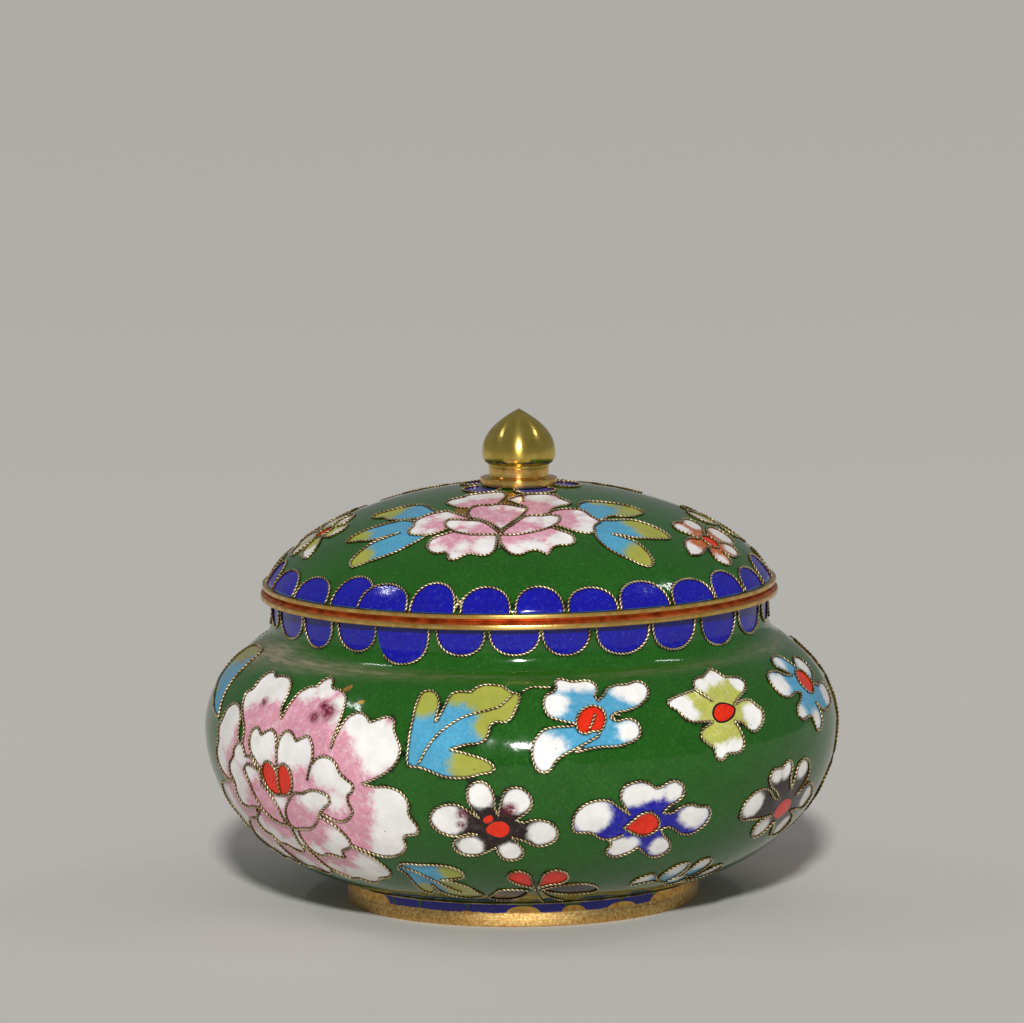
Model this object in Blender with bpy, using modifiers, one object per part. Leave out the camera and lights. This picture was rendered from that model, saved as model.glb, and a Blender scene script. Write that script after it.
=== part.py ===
"""Lidded cloisonne jar: a squat enamelled copper bowl on a gilt foot ring, with a gilt ring
round its mouth and a loose domed lid that carries a turned onion finial.

Metres, +Z up. The origin is on the axis at the level the foot stands on. Every piece is
turned, so each is an outline at +X that is swept round the Z axis.
"""

import math

import bpy

# Foot
FOOT_RADIUS = 0.0278
FOOT_RING_HEIGHT = 0.0022
FOOT_RING_WALL = 0.0016
FOOT_SOLE_EASE = 0.0003  # chamfer of the edges it stands on
FOOT_BAND_DEPTH = 0.0004  # enamelled band of the bowl that reaches down to the gilt ring

# Bowl
BOWL_WALL = 0.0018
NECK_RADIUS = 0.0392
NECK_STRAIGHT = 0.0030  # plain neck above the hollow curve at its root
NECK_FILLET = 0.0022  # height that the hollow curve takes up on the neck
SHOULDER_MEETS = 0.0019  # how far outside the neck the hollow curve meets the shoulder
BELLY_SWELL = 0.0108  # how far the belly stands out beyond the neck
BELLY_SWEEP = 0.0300  # from the belly in to the centre of its curve
BELLY_RISE = 0.0251  # from the bowl's underside up to the widest line
SHOULDER_RISE = 0.0190  # from the widest line up to the top of the shoulder's curve

# Mouth ring, which stands out from the neck like a small cornice
MOUTH_RING_OVERHANG = 0.0016
MOUTH_RING_THICKNESS = 0.0011
MOUTH_RING_EASE = 0.0003

# Lid rim: a flat ring with a groove under its edge and a collar that drops into the mouth
LID_RIM_SETBACK = 0.0003  # how far the lid's edge lies inside the mouth ring's
LID_RIM_THICKNESS = 0.0011
LID_GROOVE_HEIGHT = 0.0004
LID_GROOVE_DEPTH = 0.0004
COLLAR_CLEARANCE = 0.0005  # all round, between the collar and the mouth
COLLAR_WALL = 0.0010
COLLAR_DROP = 0.0036

# Lid dome
DOME_INSET = 0.0008  # from the rim's gilt edge in to the enamel
DOME_CURVE_HEIGHT = 0.0201
DOME_EDGE_CUT = 0.0053  # how far above the curve's own centre the dome's edge is
LID_WALL = 0.0016

# Finial
FLANGE_RADIUS = 0.00605
FLANGE_THICKNESS = 0.0012
SEAT_MARGIN = 0.00015  # flat seat that shows outside the flange
FINIAL_NECK_RADIUS = 0.0047
FINIAL_NECK_HEIGHT = 0.00145
BEAD_STANDS_OUT = 0.00015
BEAD_HEIGHT = 0.0005
KNOB_RADIUS = 0.0058
KNOB_TUCK = 0.0015  # from the bead up to the widest line of the knob
KNOB_POINT = 0.0071  # from the widest line up to the tip
KNOB_FULLNESS = 2.3  # power of the onion's curve: 1 is a cone, and more is fuller

# Fit and facets
TOUCH_GAP = 0.0003  # left between pieces that touch
BOWL_STEPS = 56
FINIAL_STEPS = 32
SHARP_CORNER = math.radians(35)

# Sizes that follow from those above
MOUTH_RADIUS = NECK_RADIUS - BOWL_WALL
BELLY_RADIUS = NECK_RADIUS + BELLY_SWELL
FOOT_BAND_BOTTOM = FOOT_RING_HEIGHT + TOUCH_GAP
BOWL_UNDERSIDE = FOOT_BAND_BOTTOM + FOOT_BAND_DEPTH
BELLY_CENTRE = (BELLY_RADIUS - BELLY_SWEEP, BOWL_UNDERSIDE + BELLY_RISE)
LID_RIM_RADIUS = NECK_RADIUS + MOUTH_RING_OVERHANG - LID_RIM_SETBACK
DOME_EDGE = LID_RIM_THICKNESS + TOUCH_GAP
DOME_CENTRE = (0.0, DOME_EDGE - DOME_EDGE_CUT)
DOME_EDGE_ANGLE = math.asin(DOME_EDGE_CUT / DOME_CURVE_HEIGHT)
DOME_CURVE_RADIUS = (LID_RIM_RADIUS - DOME_INSET) / math.cos(DOME_EDGE_ANGLE)
SEAT_RADIUS = FLANGE_RADIUS + SEAT_MARGIN


def ellipse_arc(centre, semi_axes, start, end, count):
    """Points on an ellipse in the (radius, height) plane, from one angle to the other."""
    points = []
    for i in range(count):
        angle = start + (end - start) * i / (count - 1)
        radius = centre[0] + semi_axes[0] * math.cos(angle)
        height = centre[1] + semi_axes[1] * math.sin(angle)
        points.append((radius, height))
    return points


def angle_at_radius(centre, semi_axes, radius):
    """The angle at which the upper half of an ellipse reaches a radius."""
    return math.acos((radius - centre[0]) / semi_axes[0])


def soft_corner(start, corner, end, count):
    """A quadratic curve that leaves start and reaches end along lines through the corner."""
    points = []
    for i in range(count):
        t = i / (count - 1)
        weights = ((1 - t) ** 2, 2 * t * (1 - t), t**2)
        radius = sum(w * p[0] for w, p in zip(weights, (start, corner, end)))
        height = sum(w * p[1] for w, p in zip(weights, (start, corner, end)))
        points.append((radius, height))
    return points


def neck_root():
    """Where the hollow curve starts on the neck, its corner, and where it meets the shoulder."""
    rise, reach = SHOULDER_RISE, BELLY_SWEEP
    meets_radius = NECK_RADIUS + SHOULDER_MEETS
    angle = angle_at_radius(BELLY_CENTRE, (reach, rise), meets_radius)
    meets = (meets_radius, BELLY_CENTRE[1] + rise * math.sin(angle))
    slope = rise * math.cos(angle) / (reach * math.sin(angle))
    corner = (NECK_RADIUS, meets[1] + SHOULDER_MEETS * slope)
    start = (NECK_RADIUS, corner[1] + NECK_FILLET)
    return start, corner, meets, angle


def neck_top():
    return neck_root()[0][1] + NECK_STRAIGHT


def bowl_outline():
    """The hollow bowl: up its inside from the axis, over the mouth, down its outside."""
    upper = (BELLY_SWEEP, SHOULDER_RISE)
    lower = (BELLY_SWEEP, BELLY_RISE)
    inner_upper = (upper[0] - BOWL_WALL, upper[1] - BOWL_WALL)
    inner_lower = (lower[0] - BOWL_WALL, lower[1] - BOWL_WALL)
    inner_meets = angle_at_radius(BELLY_CENTRE, inner_upper, MOUTH_RADIUS)
    foot_meets = angle_at_radius(BELLY_CENTRE, lower, FOOT_RADIUS)
    foot_inner = FOOT_RADIUS - FOOT_RING_WALL
    start, corner, meets, shoulder_angle = neck_root()

    outline = [(0.0, BOWL_UNDERSIDE + BOWL_WALL)]
    outline += ellipse_arc(BELLY_CENTRE, inner_lower, -math.pi / 2, 0.0, 8)
    outline += ellipse_arc(BELLY_CENTRE, inner_upper, 0.0, inner_meets, 5)[1:]
    outline += [(MOUTH_RADIUS, neck_top()), (NECK_RADIUS, neck_top())]
    outline += soft_corner(start, corner, meets, 4)
    outline += ellipse_arc(BELLY_CENTRE, upper, shoulder_angle, 0.0, 6)[1:]
    outline += ellipse_arc(BELLY_CENTRE, lower, 0.0, -foot_meets, 9)[1:]
    outline += [(FOOT_RADIUS, FOOT_BAND_BOTTOM), (foot_inner, FOOT_BAND_BOTTOM)]
    outline += [(foot_inner, BOWL_UNDERSIDE), (0.0, BOWL_UNDERSIDE)]
    return outline


def foot_ring_outline():
    inner = FOOT_RADIUS - FOOT_RING_WALL
    return [
        (inner, FOOT_RING_HEIGHT),
        (FOOT_RADIUS, FOOT_RING_HEIGHT),
        (FOOT_RADIUS, FOOT_SOLE_EASE),
        (FOOT_RADIUS - FOOT_SOLE_EASE, 0.0),
        (inner + FOOT_SOLE_EASE, 0.0),
        (inner, FOOT_SOLE_EASE),
    ]


def mouth_ring_outline():
    """A flat ring with an eased outer edge, resting on the end of the neck."""
    bottom = neck_top() + TOUCH_GAP
    top = bottom + MOUTH_RING_THICKNESS
    outer = NECK_RADIUS + MOUTH_RING_OVERHANG
    return [
        (MOUTH_RADIUS, top),
        (outer - MOUTH_RING_EASE, top),
        (outer, top - MOUTH_RING_EASE),
        (outer, bottom + MOUTH_RING_EASE),
        (outer - MOUTH_RING_EASE, bottom),
        (MOUTH_RADIUS, bottom),
    ]


def lid_rim_outline():
    """The lid's flat gilt ring and its collar; height 0 is the level that the lid rests at."""
    groove = LID_RIM_RADIUS - LID_GROOVE_DEPTH
    collar_outer = MOUTH_RADIUS - COLLAR_CLEARANCE
    collar_inner = collar_outer - COLLAR_WALL
    return [
        (collar_inner, LID_RIM_THICKNESS),
        (LID_RIM_RADIUS, LID_RIM_THICKNESS),
        (LID_RIM_RADIUS, LID_GROOVE_HEIGHT),
        (groove, LID_GROOVE_HEIGHT),
        (groove, 0.0),
        (collar_outer, 0.0),
        (collar_outer, -COLLAR_DROP),
        (collar_inner, -COLLAR_DROP),
    ]


def seat_height():
    """Height of the finial's flat seat at the dome's crown, above the lid's resting level."""
    share = SEAT_RADIUS / DOME_CURVE_RADIUS
    return DOME_CENTRE[1] + DOME_CURVE_HEIGHT * math.sqrt(1 - share**2)


def dome_outline():
    """The domed shell: from its crown down the outside, round its edge and up the inside."""
    outer = (DOME_CURVE_RADIUS, DOME_CURVE_HEIGHT)
    inner = (outer[0] - LID_WALL, outer[1] - LID_WALL)
    inner_edge_angle = math.asin(DOME_EDGE_CUT / inner[1])
    seat_angle = angle_at_radius(DOME_CENTRE, outer, SEAT_RADIUS)
    outline = [(0.0, seat_height())]
    outline += ellipse_arc(DOME_CENTRE, outer, seat_angle, DOME_EDGE_ANGLE, 11)
    outline += ellipse_arc(DOME_CENTRE, inner, inner_edge_angle, math.pi / 2, 9)[:-1]
    outline += [(0.0, DOME_CENTRE[1] + inner[1])]
    return outline


def finial_outline():
    """Onion knob, bead, neck and flange in one, from the tip down to the flange's underside."""
    flange_bottom = seat_height() + TOUCH_GAP
    flange_top = flange_bottom + FLANGE_THICKNESS
    neck_end = flange_top + FINIAL_NECK_HEIGHT
    widest = neck_end + BEAD_HEIGHT + KNOB_TUCK
    bead_radius = FINIAL_NECK_RADIUS + BEAD_STANDS_OUT

    outline = []
    knob_points = 10
    for i in range(knob_points):
        share = 1 - i / knob_points
        radius = KNOB_RADIUS * (1 - share**KNOB_FULLNESS)
        outline.append((radius, widest + KNOB_POINT * share))
    tuck = (KNOB_RADIUS - bead_radius, KNOB_TUCK)
    outline += ellipse_arc((bead_radius, widest), tuck, 0.0, -math.pi / 2, 5)
    outline += [(bead_radius, neck_end), (FINIAL_NECK_RADIUS, neck_end)]
    outline += [(FINIAL_NECK_RADIUS, flange_top), (FLANGE_RADIUS, flange_top)]
    outline += [(FLANGE_RADIUS, flange_bottom), (0.0, flange_bottom)]
    return outline


def make_material(name, colour, roughness, metallic):
    material = bpy.data.materials.new(name)
    material.use_nodes = True
    shader = material.node_tree.nodes["Principled BSDF"]
    shader.inputs["Base Color"].default_value = (*colour, 1.0)
    shader.inputs["Roughness"].default_value = roughness
    shader.inputs["Metallic"].default_value = metallic
    return material


def turn(name, outline, steps, material, parent):
    """Sweeps an outline of (radius, height) points, which runs down the piece's outer side.

    An outline that starts on the axis also ends there; any other is closed into a loop.
    """
    profile = bpy.data.meshes.new(name + "_outline")
    edges = [(i, i + 1) for i in range(len(outline) - 1)]
    if outline[0][0] > 0:
        edges.append((len(outline) - 1, 0))
    profile.from_pydata([(radius, 0.0, height) for radius, height in outline], edges, [])
    piece = bpy.data.objects.new(name, profile)
    parent.users_collection[0].objects.link(piece)
    screw = piece.modifiers.new("turned", "SCREW")
    screw.axis = "Z"
    screw.angle = math.tau
    screw.steps = steps
    screw.render_steps = steps
    screw.use_merge_vertices = True
    screw.merge_threshold = 0.000001

    evaluated = piece.evaluated_get(bpy.context.evaluated_depsgraph_get())
    mesh = bpy.data.meshes.new_from_object(evaluated)
    piece.modifiers.clear()
    piece.data = mesh
    bpy.data.meshes.remove(profile)
    mesh.name = name
    mesh.materials.append(material)
    mesh.shade_smooth()
    mesh.set_sharp_from_angle(angle=SHARP_CORNER)
    piece.parent = parent
    return piece


def add_group(name, height, parent, collection):
    """An empty on the axis that its pieces are moved by, such as the whole lid."""
    group = bpy.data.objects.new(name, None)
    group.location = (0.0, 0.0, height)
    group.parent = parent
    collection.objects.link(group)
    return group


def clear_scene():
    for item in list(bpy.data.objects):
        bpy.data.objects.remove(item, do_unlink=True)


def make_jar():
    clear_scene()
    collection = bpy.data.collections.new("cloisonne_jar")
    bpy.context.scene.collection.children.link(collection)
    mouth_top = neck_top() + TOUCH_GAP + MOUTH_RING_THICKNESS
    jar = add_group("jar", 0.0, None, collection)
    lid = add_group("lid", mouth_top + TOUCH_GAP, jar, collection)

    enamel = make_material("green_enamel", (0.014, 0.116, 0.011), 0.12, 0.0)
    gilt = make_material("gilt_brass", (0.83, 0.55, 0.16), 0.18, 1.0)

    turn("jar_foot_ring", foot_ring_outline(), BOWL_STEPS, gilt, jar)
    turn("jar_body", bowl_outline(), BOWL_STEPS, enamel, jar)
    turn("jar_mouth_ring", mouth_ring_outline(), BOWL_STEPS, gilt, jar)
    turn("lid_rim_ring", lid_rim_outline(), BOWL_STEPS, gilt, lid)
    turn("lid_dome", dome_outline(), BOWL_STEPS, enamel, lid)
    turn("lid_finial", finial_outline(), FINIAL_STEPS, gilt, lid)


make_jar()
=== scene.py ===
import math
import random

import bpy
import numpy as np
from mathutils import Matrix, Vector
from mathutils.geometry import delaunay_2d_cdt
from mathutils.kdtree import KDTree


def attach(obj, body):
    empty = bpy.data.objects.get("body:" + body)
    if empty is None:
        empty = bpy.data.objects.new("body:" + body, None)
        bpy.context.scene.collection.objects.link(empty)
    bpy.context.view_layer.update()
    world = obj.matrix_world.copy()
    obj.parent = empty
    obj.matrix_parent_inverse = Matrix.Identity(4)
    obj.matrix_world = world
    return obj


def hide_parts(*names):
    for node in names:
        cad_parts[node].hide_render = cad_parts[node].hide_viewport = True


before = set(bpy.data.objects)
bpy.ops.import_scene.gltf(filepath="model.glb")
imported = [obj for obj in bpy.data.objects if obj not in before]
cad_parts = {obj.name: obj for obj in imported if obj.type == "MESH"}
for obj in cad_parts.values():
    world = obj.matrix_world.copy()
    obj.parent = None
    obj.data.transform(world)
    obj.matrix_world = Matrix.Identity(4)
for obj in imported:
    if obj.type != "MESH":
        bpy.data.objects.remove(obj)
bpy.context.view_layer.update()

# The looks of a lidded cloisonne jar: enamels between twisted gilt wires, laid on the turned forms
# of the solids, with gilt rings and a gilt finial

mm = 0.001
weldGap = 1e-6  # metres between points that are one
wobble = random.Random(7)  # a hand's unevenness, the same in every run

# The jar's turned forms, in millimetres, from the same values as the solids

bowl = {
    "footRadius": 27.8, "footRingHeight": 2.2, "footRingWall": 1.6, "footBandDepth": 0.4,
    "wall": 1.8, "neckRadius": 39.2, "neckStraight": 3.0, "neckFillet": 2.2,
    "shoulderMeets": 1.9, "bellySwell": 10.8, "bellySweep": 30.0, "bellyRise": 25.1,
    "shoulderRise": 19.0, "touchGap": 0.3,
    "neckLap": 0.25,  # the enamel runs up under the mouth ring
    "footLap": 0.06, "enamelEnds": 1.75,  # and down over the top of the foot ring
    "seamAngle": -97.5,  # where the flat pattern closes, clear of the motifs
    "chartRadius": 46.0,  # radius at which the flat pattern of the wall is true to size
}
lid = {
    "restsAt": 49.6, "rimRadius": 40.5, "rimThickness": 1.1, "domeInset": 0.8,
    "curveHeight": 20.1, "edgeCut": 5.3, "wall": 1.6, "seatRadius": 6.2,
    "edgeLap": 0.3,  # the enamel runs down inside the rim
}
facets = {  # how finely the curves are cut
    "around": 384, "neckCorner": 24, "shoulder": 90, "belly": 120, "shoulderInside": 14, "bellyInside": 28,
    "dome": 140, "domeInside": 30, "tongueArch": 48, "tongueRoot": 24,
    "undersideRing": 14,  # radius of a ring of points on the flat underside
}


def ellipseArc(centre, axes, start, end, count):
    turns = np.linspace(start, end, count)
    return [(centre[0] + axes[0] * math.cos(t), centre[1] + axes[1] * math.sin(t)) for t in turns]


def softCorner(start, corner, end, count):
    curve = []
    for t in np.linspace(0, 1, count):
        weights = ((1 - t) ** 2, 2 * t * (1 - t), t * t)
        curve.append(tuple(sum(w * p[k] for w, p in zip(weights, (start, corner, end))) for k in (0, 1)))
    return curve


footBandBottom = bowl["footRingHeight"] + bowl["touchGap"]
underside = footBandBottom + bowl["footBandDepth"]
bellyRadius = bowl["neckRadius"] + bowl["bellySwell"]
bellyCentre = (bellyRadius - bowl["bellySweep"], underside + bowl["bellyRise"])
mouthRadius = bowl["neckRadius"] - bowl["wall"]


def wallOutline():  # down the outside, from the end of the neck to the foot band
    rise, sweep = bowl["shoulderRise"], bowl["bellySweep"]
    meetsRadius = bowl["neckRadius"] + bowl["shoulderMeets"]
    angle = math.acos((meetsRadius - bellyCentre[0]) / sweep)
    meets = (meetsRadius, bellyCentre[1] + rise * math.sin(angle))
    slope = rise * math.cos(angle) / (sweep * math.sin(angle))
    corner = (bowl["neckRadius"], meets[1] + bowl["shoulderMeets"] * slope)
    start = (bowl["neckRadius"], corner[1] + bowl["neckFillet"])
    neckTop = start[1] + bowl["neckStraight"]
    footMeets = math.acos((bowl["footRadius"] - bellyCentre[0]) / sweep)
    outline = [(bowl["neckRadius"], neckTop + bowl["neckLap"])]
    outline += softCorner(start, corner, meets, facets["neckCorner"])
    outline += ellipseArc(bellyCentre, (sweep, rise), angle, 0, facets["shoulder"])[1:]
    outline += ellipseArc(bellyCentre, (sweep, bowl["bellyRise"]), 0, -footMeets, facets["belly"])[1:]
    lapped = bowl["footRadius"] + bowl["footLap"]
    outline += [(bowl["footRadius"], footBandBottom), (lapped, footBandBottom - bowl["footLap"])]
    return outline + [(lapped, bowl["enamelEnds"])], neckTop


def insideOutline(neckTop):  # from the end of the neck over the mouth, down the inside to the axis
    rise, lower = bowl["shoulderRise"] - bowl["wall"], bowl["bellyRise"] - bowl["wall"]
    sweep, lip = bowl["bellySweep"] - bowl["wall"], neckTop + bowl["neckLap"]
    meets = math.acos((mouthRadius - bellyCentre[0]) / sweep)
    outline = [(bowl["neckRadius"], lip), (mouthRadius, lip)]
    outline += ellipseArc(bellyCentre, (sweep, rise), meets, 0, facets["shoulderInside"])
    outline += ellipseArc(bellyCentre, (sweep, lower), 0, -math.pi / 2, facets["bellyInside"])[1:]
    return outline + [(0, underside + bowl["wall"])]


def undersideOutline():  # from the end of the enamel, up behind the foot ring, to the axis
    inner = bowl["footRadius"] - bowl["footRingWall"]
    behind, ends = bowl["footRadius"] - bowl["footLap"], bowl["enamelEnds"]
    outline = [(bowl["footRadius"] + bowl["footLap"], ends), (behind, ends), (behind, footBandBottom)]
    outline += [(inner, footBandBottom), (inner, underside)]
    return outline + [(facets["undersideRing"], underside), (0, underside)]


domeCentre = (0, lid["restsAt"] + lid["rimThickness"] + bowl["touchGap"] - lid["edgeCut"])
domeEdgeAngle = math.asin(lid["edgeCut"] / lid["curveHeight"])
domeRadius = (lid["rimRadius"] - lid["domeInset"]) / math.cos(domeEdgeAngle)


def domeOutline():  # down the outside, from the flat seat of the finial to the edge
    axes, seatAngle = (domeRadius, lid["curveHeight"]), math.acos(lid["seatRadius"] / domeRadius)
    outline = ellipseArc(domeCentre, axes, seatAngle, domeEdgeAngle, facets["dome"])
    return outline + [(outline[-1][0], outline[-1][1] - lid["edgeLap"])]


def domeInsideOutline():  # from the edge up the inside to the axis
    axes = (domeRadius - lid["wall"], lid["curveHeight"] - lid["wall"])
    edge = math.asin(lid["edgeCut"] / axes[1])
    inner = ellipseArc(domeCentre, axes, edge, math.pi / 2, facets["domeInside"])
    return [domeOutline()[-1]] + inner[:-1] + [(0, domeCentre[1] + axes[1])]


# Making meshes


def only(piece):
    if bpy.context.object and bpy.context.object.mode != "OBJECT":
        bpy.ops.object.mode_set(mode="OBJECT")
    bpy.ops.object.select_all(action="DESELECT")
    if piece:
        piece.select_set(True)
        bpy.context.view_layer.objects.active = piece


def outward(piece, gap=0.0):
    only(piece)
    bpy.ops.object.mode_set(mode="EDIT")
    bpy.ops.mesh.select_all(action="SELECT")
    if gap:
        bpy.ops.mesh.remove_doubles(threshold=gap)
    bpy.ops.mesh.normals_make_consistent(inside=False)
    bpy.ops.object.mode_set(mode="OBJECT")


def turned(name, outline, steps):  # a ring at the first point, extruded from point to point
    only(None)
    radius, height = outline[0]
    bpy.ops.mesh.primitive_circle_add(vertices=steps, radius=radius * mm)
    piece = bpy.context.object
    piece.name = piece.data.name = name
    bpy.ops.object.mode_set(mode="EDIT")
    bpy.ops.mesh.select_all(action="SELECT")
    bpy.ops.transform.translate(value=(0, 0, height * mm))
    for (r0, z0), (r1, z1) in zip(outline, outline[1:]):
        bpy.ops.mesh.extrude_region_move(TRANSFORM_OT_translate={"value": (0, 0, (z1 - z0) * mm)})
        if r1 > 0:
            bpy.ops.transform.resize(value=(r1 / r0, r1 / r0, 1), center_override=(0, 0, z1 * mm))
        else:
            bpy.ops.mesh.merge(type="CENTER")
    outward(piece, weldGap)
    return piece


def softenEdges(piece, width, degrees):
    modifier = piece.modifiers.new("bevel", "BEVEL")
    modifier.width, modifier.segments = width * mm, 3
    modifier.limit_method, modifier.angle_limit = "ANGLE", math.radians(degrees)
    only(piece)
    bpy.ops.object.modifier_apply(modifier=modifier.name)


def smoothShade(piece, degrees):
    only(piece)
    bpy.ops.object.shade_smooth_by_angle(angle=math.radians(degrees))


def meshPiece(name, verts, faces):
    mesh = bpy.data.meshes.new(name)
    mesh.from_pydata(verts.tolist(), [], faces)
    piece = bpy.data.objects.new(name, mesh)
    bpy.context.scene.collection.objects.link(piece)
    return piece


def paint(piece, name, values, domain="POINT"):  # a value or a colour for each point or face corner
    colour = values.ndim == 2
    layer = piece.data.attributes.new(name, "FLOAT_COLOR" if colour else "FLOAT", domain)
    layer.data.foreach_set("color" if colour else "value", values.astype(np.float32).ravel())


def triangles(piece):
    return sum(len(p.vertices) - 2 for p in piece.data.polygons)


# Flat patterns: a motif is drawn flat, in millimetres, and then laid on the wall or the dome

bends = {
    "pinch": -48, "sharp": 95,  # degrees from which a wire is bent sharply: inwards, and either way
    "step": 0.12, "fewest": 4,  # mm between points on a bend, and the fewest of them
}


def measured(outline):  # arc length, radius, height and outward normal along an outline
    r, z = np.array(outline).T
    s = np.concatenate([[0], np.cumsum(np.hypot(np.diff(r), np.diff(z)))])
    dr, dz = np.gradient(r, s), np.gradient(z, s)
    size = np.hypot(dr, dz)
    return {"s": s, "r": r, "z": z, "nr": -dz / size, "nz": dr / size}


wallLine, neckTop = wallOutline()
wall, dome = measured(wallLine), measured(domeOutline())
wallLength, domeLength = wall["s"][-1], dome["s"][-1]
degree = bowl["chartRadius"] * math.pi / 180  # flat millimetres to a degree of the wall


def laid(form, angle, s, lift):  # points and normals; angle 0 faces the front and grows to the right
    r, z, nr, nz = (np.interp(s, form["s"], form[k]) for k in ("r", "z", "nr", "nz"))
    sine, cosine = np.sin(angle), -np.cos(angle)
    out = r + nr * lift
    points = np.stack([out * sine, out * cosine, z + nz * lift], -1) * mm
    return points, np.stack([nr * sine, nr * cosine, nz], -1)


def onWall(flat, lift):
    return laid(wall, flat[:, 0] / bowl["chartRadius"], -flat[:, 1], lift)


def onDome(flat, lift):
    reach = np.hypot(flat[:, 0], flat[:, 1])
    points, normals = laid(dome, np.arctan2(flat[:, 0], -flat[:, 1]), reach - lid["seatRadius"], lift)
    seat = reach < lid["seatRadius"]
    points[seat, :2] = flat[seat] * mm
    normals[seat] = (0, 0, 1)
    return points, normals


def atWall(angle, s):  # a motif's own millimetres, at an angle and a distance down the wall
    def place(points):
        x, y = points[:, 0], points[:, 1]
        radius = np.interp(s - y, wall["s"], wall["r"])
        return np.stack([degree * angle + bowl["chartRadius"] * x / radius, y - s], -1)
    return place


def atDome(turn=0, scale=1.0, shift=(0, 0)):
    cosine, sine = math.cos(math.radians(turn)), math.sin(math.radians(turn))

    def place(points):
        x, y = points[:, 0] * scale + shift[0], points[:, 1] * scale + shift[1]
        return np.stack([x * cosine - y * sine, x * sine + y * cosine], -1)
    return place


def polarOnDome(angle, reach):
    return np.stack([reach * np.sin(angle), -reach * np.cos(angle)], -1)


def area(loop):
    x, y = loop.T
    return (x * np.roll(y, -1) - np.roll(x, -1) * y).sum() / 2


def evenly(line, step, closed=False, fewest=6):
    if closed:
        line = np.vstack([line, line[:1]])
    run = np.concatenate([[0], np.cumsum(np.linalg.norm(np.diff(line, axis=0), axis=1))])
    count = max(fewest, int(round(run[-1] / step)))
    marks = np.linspace(0, run[-1], count + 1)
    even = np.stack([np.interp(marks, run, line[:, k]) for k in (0, 1)], -1)
    return even[:-1] if closed else even


def bentLine(points, closed):  # a wire bent through the points, sharp where it turns right back
    pts = np.array(points, float)
    if closed and area(pts) < 0:
        pts = pts[::-1]
    count = len(pts)
    d0, d1 = pts - np.roll(pts, 1, 0), np.roll(pts, -1, 0) - pts
    l0, l1 = np.linalg.norm(d0, axis=1), np.linalg.norm(d1, axis=1)
    turn = np.degrees(np.arctan2(d0[:, 0] * d1[:, 1] - d0[:, 1] * d1[:, 0], (d0 * d1).sum(1)))
    sharp = (turn < bends["pinch"]) | (np.abs(turn) > bends["sharp"])
    if not closed:
        sharp[0] = sharp[-1] = True
    slope = (d0 / l0[:, None] * l1[:, None] + d1 / l1[:, None] * l0[:, None]) / (l0 + l1)[:, None]
    pieces = []
    for i in range(count if closed else count - 1):
        j = (i + 1) % count
        m0 = d1[i] if sharp[i] else slope[i] * l1[i]
        m1 = d1[i] if sharp[j] else slope[j] * l1[i]
        t = np.linspace(0, 1, max(bends["fewest"], int(l1[i] / bends["step"])), endpoint=False)[:, None]
        pieces.append((2 * t**3 - 3 * t**2 + 1) * pts[i] + (t**3 - 2 * t**2 + t) * m0
                      + (3 * t**2 - 2 * t**3) * pts[j] + (t**3 - t**2) * m1)
    line = np.vstack(pieces + ([] if closed else [pts[-1:]]))
    return evenly(line, wires["samples"], closed)


def insideOf(points, loop, batch=4000):  # tested in batches, to spare memory
    near = np.flatnonzero(((points > loop.min(0)) & (points < loop.max(0))).all(1))
    inside = np.zeros(len(points), bool)
    x0, y0 = loop.T
    x1, y1 = np.roll(x0, -1), np.roll(y0, -1)
    for part in np.array_split(near, len(near) // batch + 1):
        x, y = points[part, 0, None], points[part, 1, None]
        with np.errstate(divide="ignore", invalid="ignore"):
            crosses = ((y0 > y) != (y1 > y)) & (x < x0 + (y - y0) * (x1 - x0) / (y1 - y0))
        inside[part] = crosses.sum(1) % 2 == 1
    return inside


# Enamels: the colour of the fired glass, how far a second one fades into it (mm) and how grainily

enamels = {
    "green": ("#19560a", 0.8, 0.0), "blue": ("#0b0898", 0.55, 0.06), "turquoise": ("#4fa2c6", 0.9, 0.12),
    "leaf": ("#a5a845", 0.5, 0.12), "lemon": ("#bbbd58", 0.6, 0.25), "pink": ("#df9aad", 1.1, 0.6),
    "white": ("#f6f3ef", 1.0, 0.2), "red": ("#e12604", 0.5, 0.0), "maroon": ("#1e0408", 0.4, 0.05),
    "orange": ("#c0601e", 0.7, 0.3), "gilt": ("#ecc470", 0.5, 0.0),
}


def linear(code):  # a hex colour as the linear values that the shaders take
    parts = [int(code[i:i + 2], 16) / 255 for i in (1, 3, 5)]
    return tuple(c / 12.92 if c <= 0.04045 else ((c + 0.055) / 1.055) ** 2.4 for c in parts) + (1.0,)


# The motifs, drawn round their own centres, in millimetres. A motif's cells run from the back
# one to the front one, and a later cell covers those before it. A cell is its main enamel, a second
# one, its outline, and the places (x, y, reach) where the second lies. If not all of its edge is
# wired, the two ends of its wire follow, anticlockwise, or None for no wire. "lines" are loose wires.

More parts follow.
